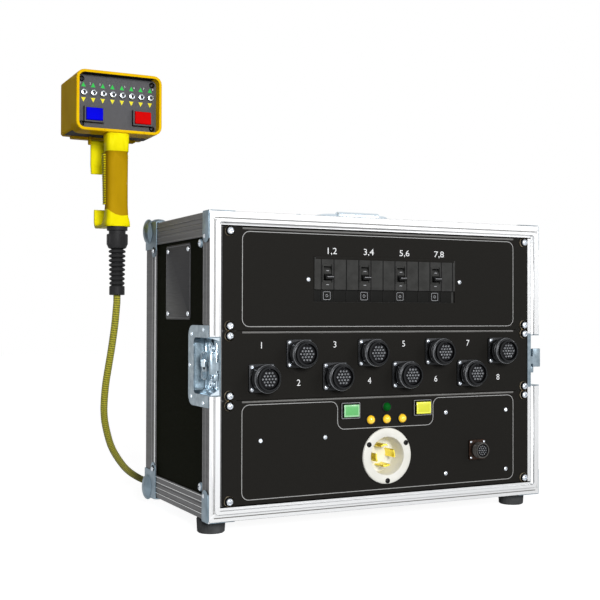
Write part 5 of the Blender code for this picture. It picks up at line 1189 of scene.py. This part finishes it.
halfX, halfZ = pendantPlan["halfX"], pendantPlan["halfZ"]
plate = plateMesh(roundedOutline(-halfX, halfX, -halfZ, halfZ, pendantPlan["radius"]), 0.002)
keyWells = [keyBox(x, pendantPlan["keyGap"], 0.0004, 0.01) for x, name in pendantPlan["keys"]]
shape = bmesh.new()
addMesh(shape, carve(plate, keyWells), onPendant(0, faceY + 0.002, 0))
newPiece("pendant_face_plate", shape, "face", stands=("pendant_face",))

# Hexagon nuts on threaded bushes, and slim levers that tip in them
nut = bmesh.new()
bmesh.ops.create_cone(nut, cap_ends=True, segments=6, radius1=0.0047, radius2=0.0047, depth=0.0026,
                      matrix=Matrix.Translation((0, 0, 0.0041)))
rims = [e for e in nut.edges if all(v.co.z > 0.005 for v in e.verts)]
bmesh.ops.bevel(nut, geom=rims, offset=0.0006, affect="EDGES", segments=2, profile=0.5, material=-1)
bore = latheMesh([(0, 0.012), (0.0023, 0.012), (0.0023, 0.0005), (0, 0.0005)], 24)
nut = carve(meshOf(nut, "nut"), [bore])
bush = latheMesh([(0.0023, 0.0048), (0.0023, 0.0058), (0.0026, 0.0062), (0.0036, 0.0060), (0.0036, 0.0), (0.0030, 0.0),
                  (0.0030, 0.0048), (0.0023, 0.0048)], 28)
shape = bmesh.new()
for k, x in enumerate(toggleX):
    place = onPendant(x, faceY, pendantPlan["toggleZ"]) @ Matrix.Rotation(0.35 + 0.4 * k, 4, "Z")
    addMesh(shape, nut, place)
    addMesh(shape, bush, place)
newPiece("toggle_nuts", shape, "screw")
leverProfile = [(0, 0.0113), (0.0008, 0.0112), (0.0013, 0.0106), (0.0014, 0.0096), (0.0011, 0.0070), (0.0009, 0.0028)]
leverProfile += [(0.0027 * math.cos(a), 0.0027 * math.sin(a)) for a in (1.1, 0.7, 0.3, -0.1, -0.5, -0.9, -1.2)]
lever = latheMesh(leverProfile + [(0, -0.0027)], 20)
for k, x in enumerate(toggleX):
    toggle = "toggle_%d" % (k + 1)
    shape = bmesh.new()
    addMesh(shape, lever, onPendant(x, faceY - pendantPlan["sunk"], pendantPlan["toggleZ"]))
    newPiece("toggle_lever_%d" % (k + 1), shape, "contact", toggle, stands=(toggle,))

# Printed triangles and numbers
markPlan = {"up": 0.0245, "down": 0.0024, "half": 0.0033, "tall": 0.0066, "digits": 0.0030, "numbers": 0.0262,
            "shift": 0.0044, "ink": 0.0001}
w, h = markPlan["half"], markPlan["tall"] / 2
for name, corners, z, finish in (("up_marks", [(-w, -h), (w, -h), (0, h)], markPlan["up"], "green print"),
                                 ("down_marks", [(-w, h), (0, -h), (w, h)], markPlan["down"], "yellow print")):
    stampAll(name, plateMesh(corners, markPlan["ink"]), [onPendant(x, faceY, z) for x in toggleX], finish)
shape = bmesh.new()
for k, x in enumerate(toggleX):
    x += -markPlan["shift"] if k < 4 else markPlan["shift"]
    addText(shape, str(k + 1), spot(px + x, faceY - markPlan["ink"], pz + markPlan["numbers"]), markPlan["digits"])
newPiece("toggle_numbers", shape, "print")

# Key bases: a black well round each key with a grey front ledge
for x, name in pendantPlan["keys"]:
    outer = keyBox(x, pendantPlan["keyWall"], -0.001, 0.0076, 0.0004)
    inner = keyBox(x, pendantPlan["keyGap"], -0.01, 0.02)
    shape = bmesh.new()
    addMesh(shape, carve(outer, [inner]), onPendant(0, faceY, 0))
    for face in shape.faces:
        face.material_index = 1 if face.normal.y < -0.9 else 0
    newPiece(name + "_key_base", shape, ("black moulding", "face"))
screwX, screwZ = pendantPlan["screws"]
stampAll("face_screws", screwMesh(0.0042, 0.0030), [onPendant(x, faceY, z) @ Matrix.Rotation(x * 40 + z * 30, 4, "Z")
                                                   for x in (-screwX, screwX) for z in (-screwZ, screwZ)], "dark screw")

# Housing trims: black sheets under the hood and under the housing as painted shade, and parting marks on the lower rim
shape = bmesh.new()
addBlock(shape, spot(px - 0.0520, front + 0.0016, pz + 0.0391), spot(px + 0.0520, faceY - 0.0001, pz + 0.0398))
addBlock(shape, spot(px - 0.0610, front + 0.0372, pz - 0.0406), spot(px + 0.0610, front + 0.0790, pz - 0.0398))
newPiece("housing_painted_shade", shape, "gap black")
shape = bmesh.new()
for x in (px - 0.0225, px + 0.0365):
    addBlock(shape, spot(x - 0.0003, front - 0.0001, pz - 0.0428), spot(x + 0.0003, front + 0.0004, pz - 0.0402))
newPiece("rim_marks", shape, "grip")

# Grip: bright collar and foot, a duller cover between them, ribs on its flanks
gripPlan = {"low": 0.4245, "high": 0.5186, "back": 0.2812, "half": 0.0165,
            "edge": ((-0.0170, 0.0110), (-0.0120, 0.0056), (-0.0050, 0.0017), (0.0040, 0.0), (0.0120, 0.0008),
                     (0.0170, 0.0028)),
            "ribs": 22, "ribPitch": 0.0034, "ribZ": 0.442, "ribY": (0.2690, 0.2800)}
shape = copyOfNode("pendant_grip")
# the cover's lower edge is a curve, cut into the front in tilted steps
ends = [(px + x, gripPlan["low"] + z) for x, z in gripPlan["edge"]]
for (x0, z0), (x1, z1) in zip(ends, ends[1:]):
    for x in (x0, x1):
        bmesh.ops.bisect_plane(shape, geom=shape.verts[:] + shape.edges[:] + shape.faces[:], dist=0.000001,
                               plane_co=spot(x, 0, 0), plane_no=(1, 0, 0))
    strip = [f for f in shape.faces if x0 < f.calc_center_median().x - caseFront.x < x1
             and f.calc_center_median().y - caseFront.y < gripPlan["back"]]
    parts = list({v for f in strip for v in f.verts}) + list({e for f in strip for e in f.edges}) + strip
    bmesh.ops.bisect_plane(shape, geom=parts, dist=0.000001, plane_co=spot(x0, 0, z0), plane_no=(z0 - z1, 0, x1 - x0))
for face in shape.faces:
    place = face.calc_center_median() - caseFront
    low = gripPlan["low"]
    for (x0, z0), (x1, z1) in zip(ends, ends[1:]):
        if x0 <= place.x <= x1:
            low = z0 + (z1 - z0) * (place.x - x0) / (x1 - x0)
    cover = low < place.z < gripPlan["high"] and place.y < gripPlan["back"] and abs(place.x - px) < gripPlan["half"]
    face.material_index = 1 if cover else 0
newPiece("grip_shell", shape, ("lemon", "grip"), stands=("pendant_grip",), angle=40)
# the dark olive backing between the ribs is painted shade in their grooves
backing, shape = bmesh.new(), bmesh.new()
ribFront, ribBack = gripPlan["ribY"]
for side in (-1, 1):
    for k in range(gripPlan["ribs"]):
        # the strip is thinnest at the foot and grows towards the collar
        z, proud = gripPlan["ribZ"] + gripPlan["ribPitch"] * k, 0.0006 + 0.0020 * k / gripPlan["ribs"]
        low, high = sorted((px + side * 0.0145, px + side * (0.0155 + proud)))
        addBlock(backing, spot(low, ribFront, z), spot(high, ribBack, z + 0.0035))
        low, high = sorted((px + side * 0.0150, px + side * (0.0163 + proud)))
        addBlock(shape, spot(low, ribFront - 0.0004, z), spot(high, ribBack + 0.0004, z + 0.0016), 0.0004)
newPiece("grip_strip_shade", backing, "olive")
newPiece("grip_ribs", shape, "lemon")

# Cord gland: a collar, a neck, a hexagon nut and a tapering row of rounded ribs
glandPlan = {"x": -0.2998, "y": 0.266, "foot": 0.4087, "nut": 0.0158, "nutTall": 0.0155, "nutDrop": 0.0186,
             "ribs": 8, "first": 0.0330, "pitch": 0.00663, "rib": 0.0126, "taper": 0.00018, "neck": 0.0082}
glandFoot = spot(glandPlan["x"], glandPlan["y"], glandPlan["foot"])
profile = [(0, 0.0), (0.0150, 0.0), (0.0150, -0.0050), (0.0146, -0.0055), (0.0122, -0.0058), (0.0122, -0.0102),
           (0.0148, -0.0106), (0.0148, -0.0265), (0.0128, -0.0310)]
for k in range(glandPlan["ribs"]):
    outer, z = glandPlan["rib"] - glandPlan["taper"] * k, -glandPlan["first"] - glandPlan["pitch"] * k
    profile += [(glandPlan["neck"], z + 0.0002), (outer - 0.0008, z - 0.0014), (outer, z - 0.0030),
                (outer - 0.0008, z - 0.0046), (glandPlan["neck"], z - 0.0060)]
profile += [(0.0106, -0.0866), (0.0112, -0.0874), (0.0112, -0.0988), (0.0104, -0.0996), (0, -0.0996)]
shape = bmesh.new()
addLathe(shape, profile, glandFoot, (0, 0, 1), 28)
made = set(bmesh.ops.create_cone(shape, cap_ends=True, segments=6, radius1=glandPlan["nut"], radius2=glandPlan["nut"],
                                 depth=glandPlan["nutTall"],
                                 matrix=Matrix.Translation(glandFoot - Vector((0, 0, glandPlan["nutDrop"]))))["verts"])
rims = [e for e in shape.edges if made.issuperset(e.verts) and abs(e.verts[0].co.z - e.verts[1].co.z) < 1e-6]
bmesh.ops.bevel(shape, geom=rims, offset=0.0011, affect="EDGES", segments=2, profile=0.5, material=-1)
newPiece("gland_body", shape, "gland black", stands=("cord_gland",))
print("pendant made")


# Finishes of the CAD nodes that stay in view
dressing = {
    "edge aluminium": ["edge_frame"], "aluminium": ["front_frame"],
    "steel": ["input_chassis", "output_chassis", "breaker_chassis"],
    "laminate": ["bottom_panel", "top_panel", "left_panel", "right_panel", "rear_panel"],
    "nickel": ["ball_corner_1", "ball_corner_2", "ball_corner_3", "ball_corner_4"],
    "latch nickel": ["latch_dish_left", "latch_dish_right", "latch_wing_left", "latch_wing_right"],
    "bright nickel": ["top_handle_plate", "top_handle_bail"],
    "rubber": ["foot_1", "foot_2", "foot_3", "foot_4"],
    "breaker": ["breaker_bank", "plug"],
    "screen black": ["breaker_handle_1", "breaker_handle_2", "breaker_handle_3", "breaker_handle_4"],
    "yellow": ["pendant_housing"], "lemon": ["trigger", "pendant_grip"],
    "face": ["pendant_face"],
    "blue": ["go_button"], "red": ["stop_button"],
    "gland black": ["cord_gland"],
    "screw": ["toggle_%d" % k for k in range(1, 9)],
}
for finish, names in dressing.items():
    for name in names:
        dress(name, finish)
print("nodes dressed")
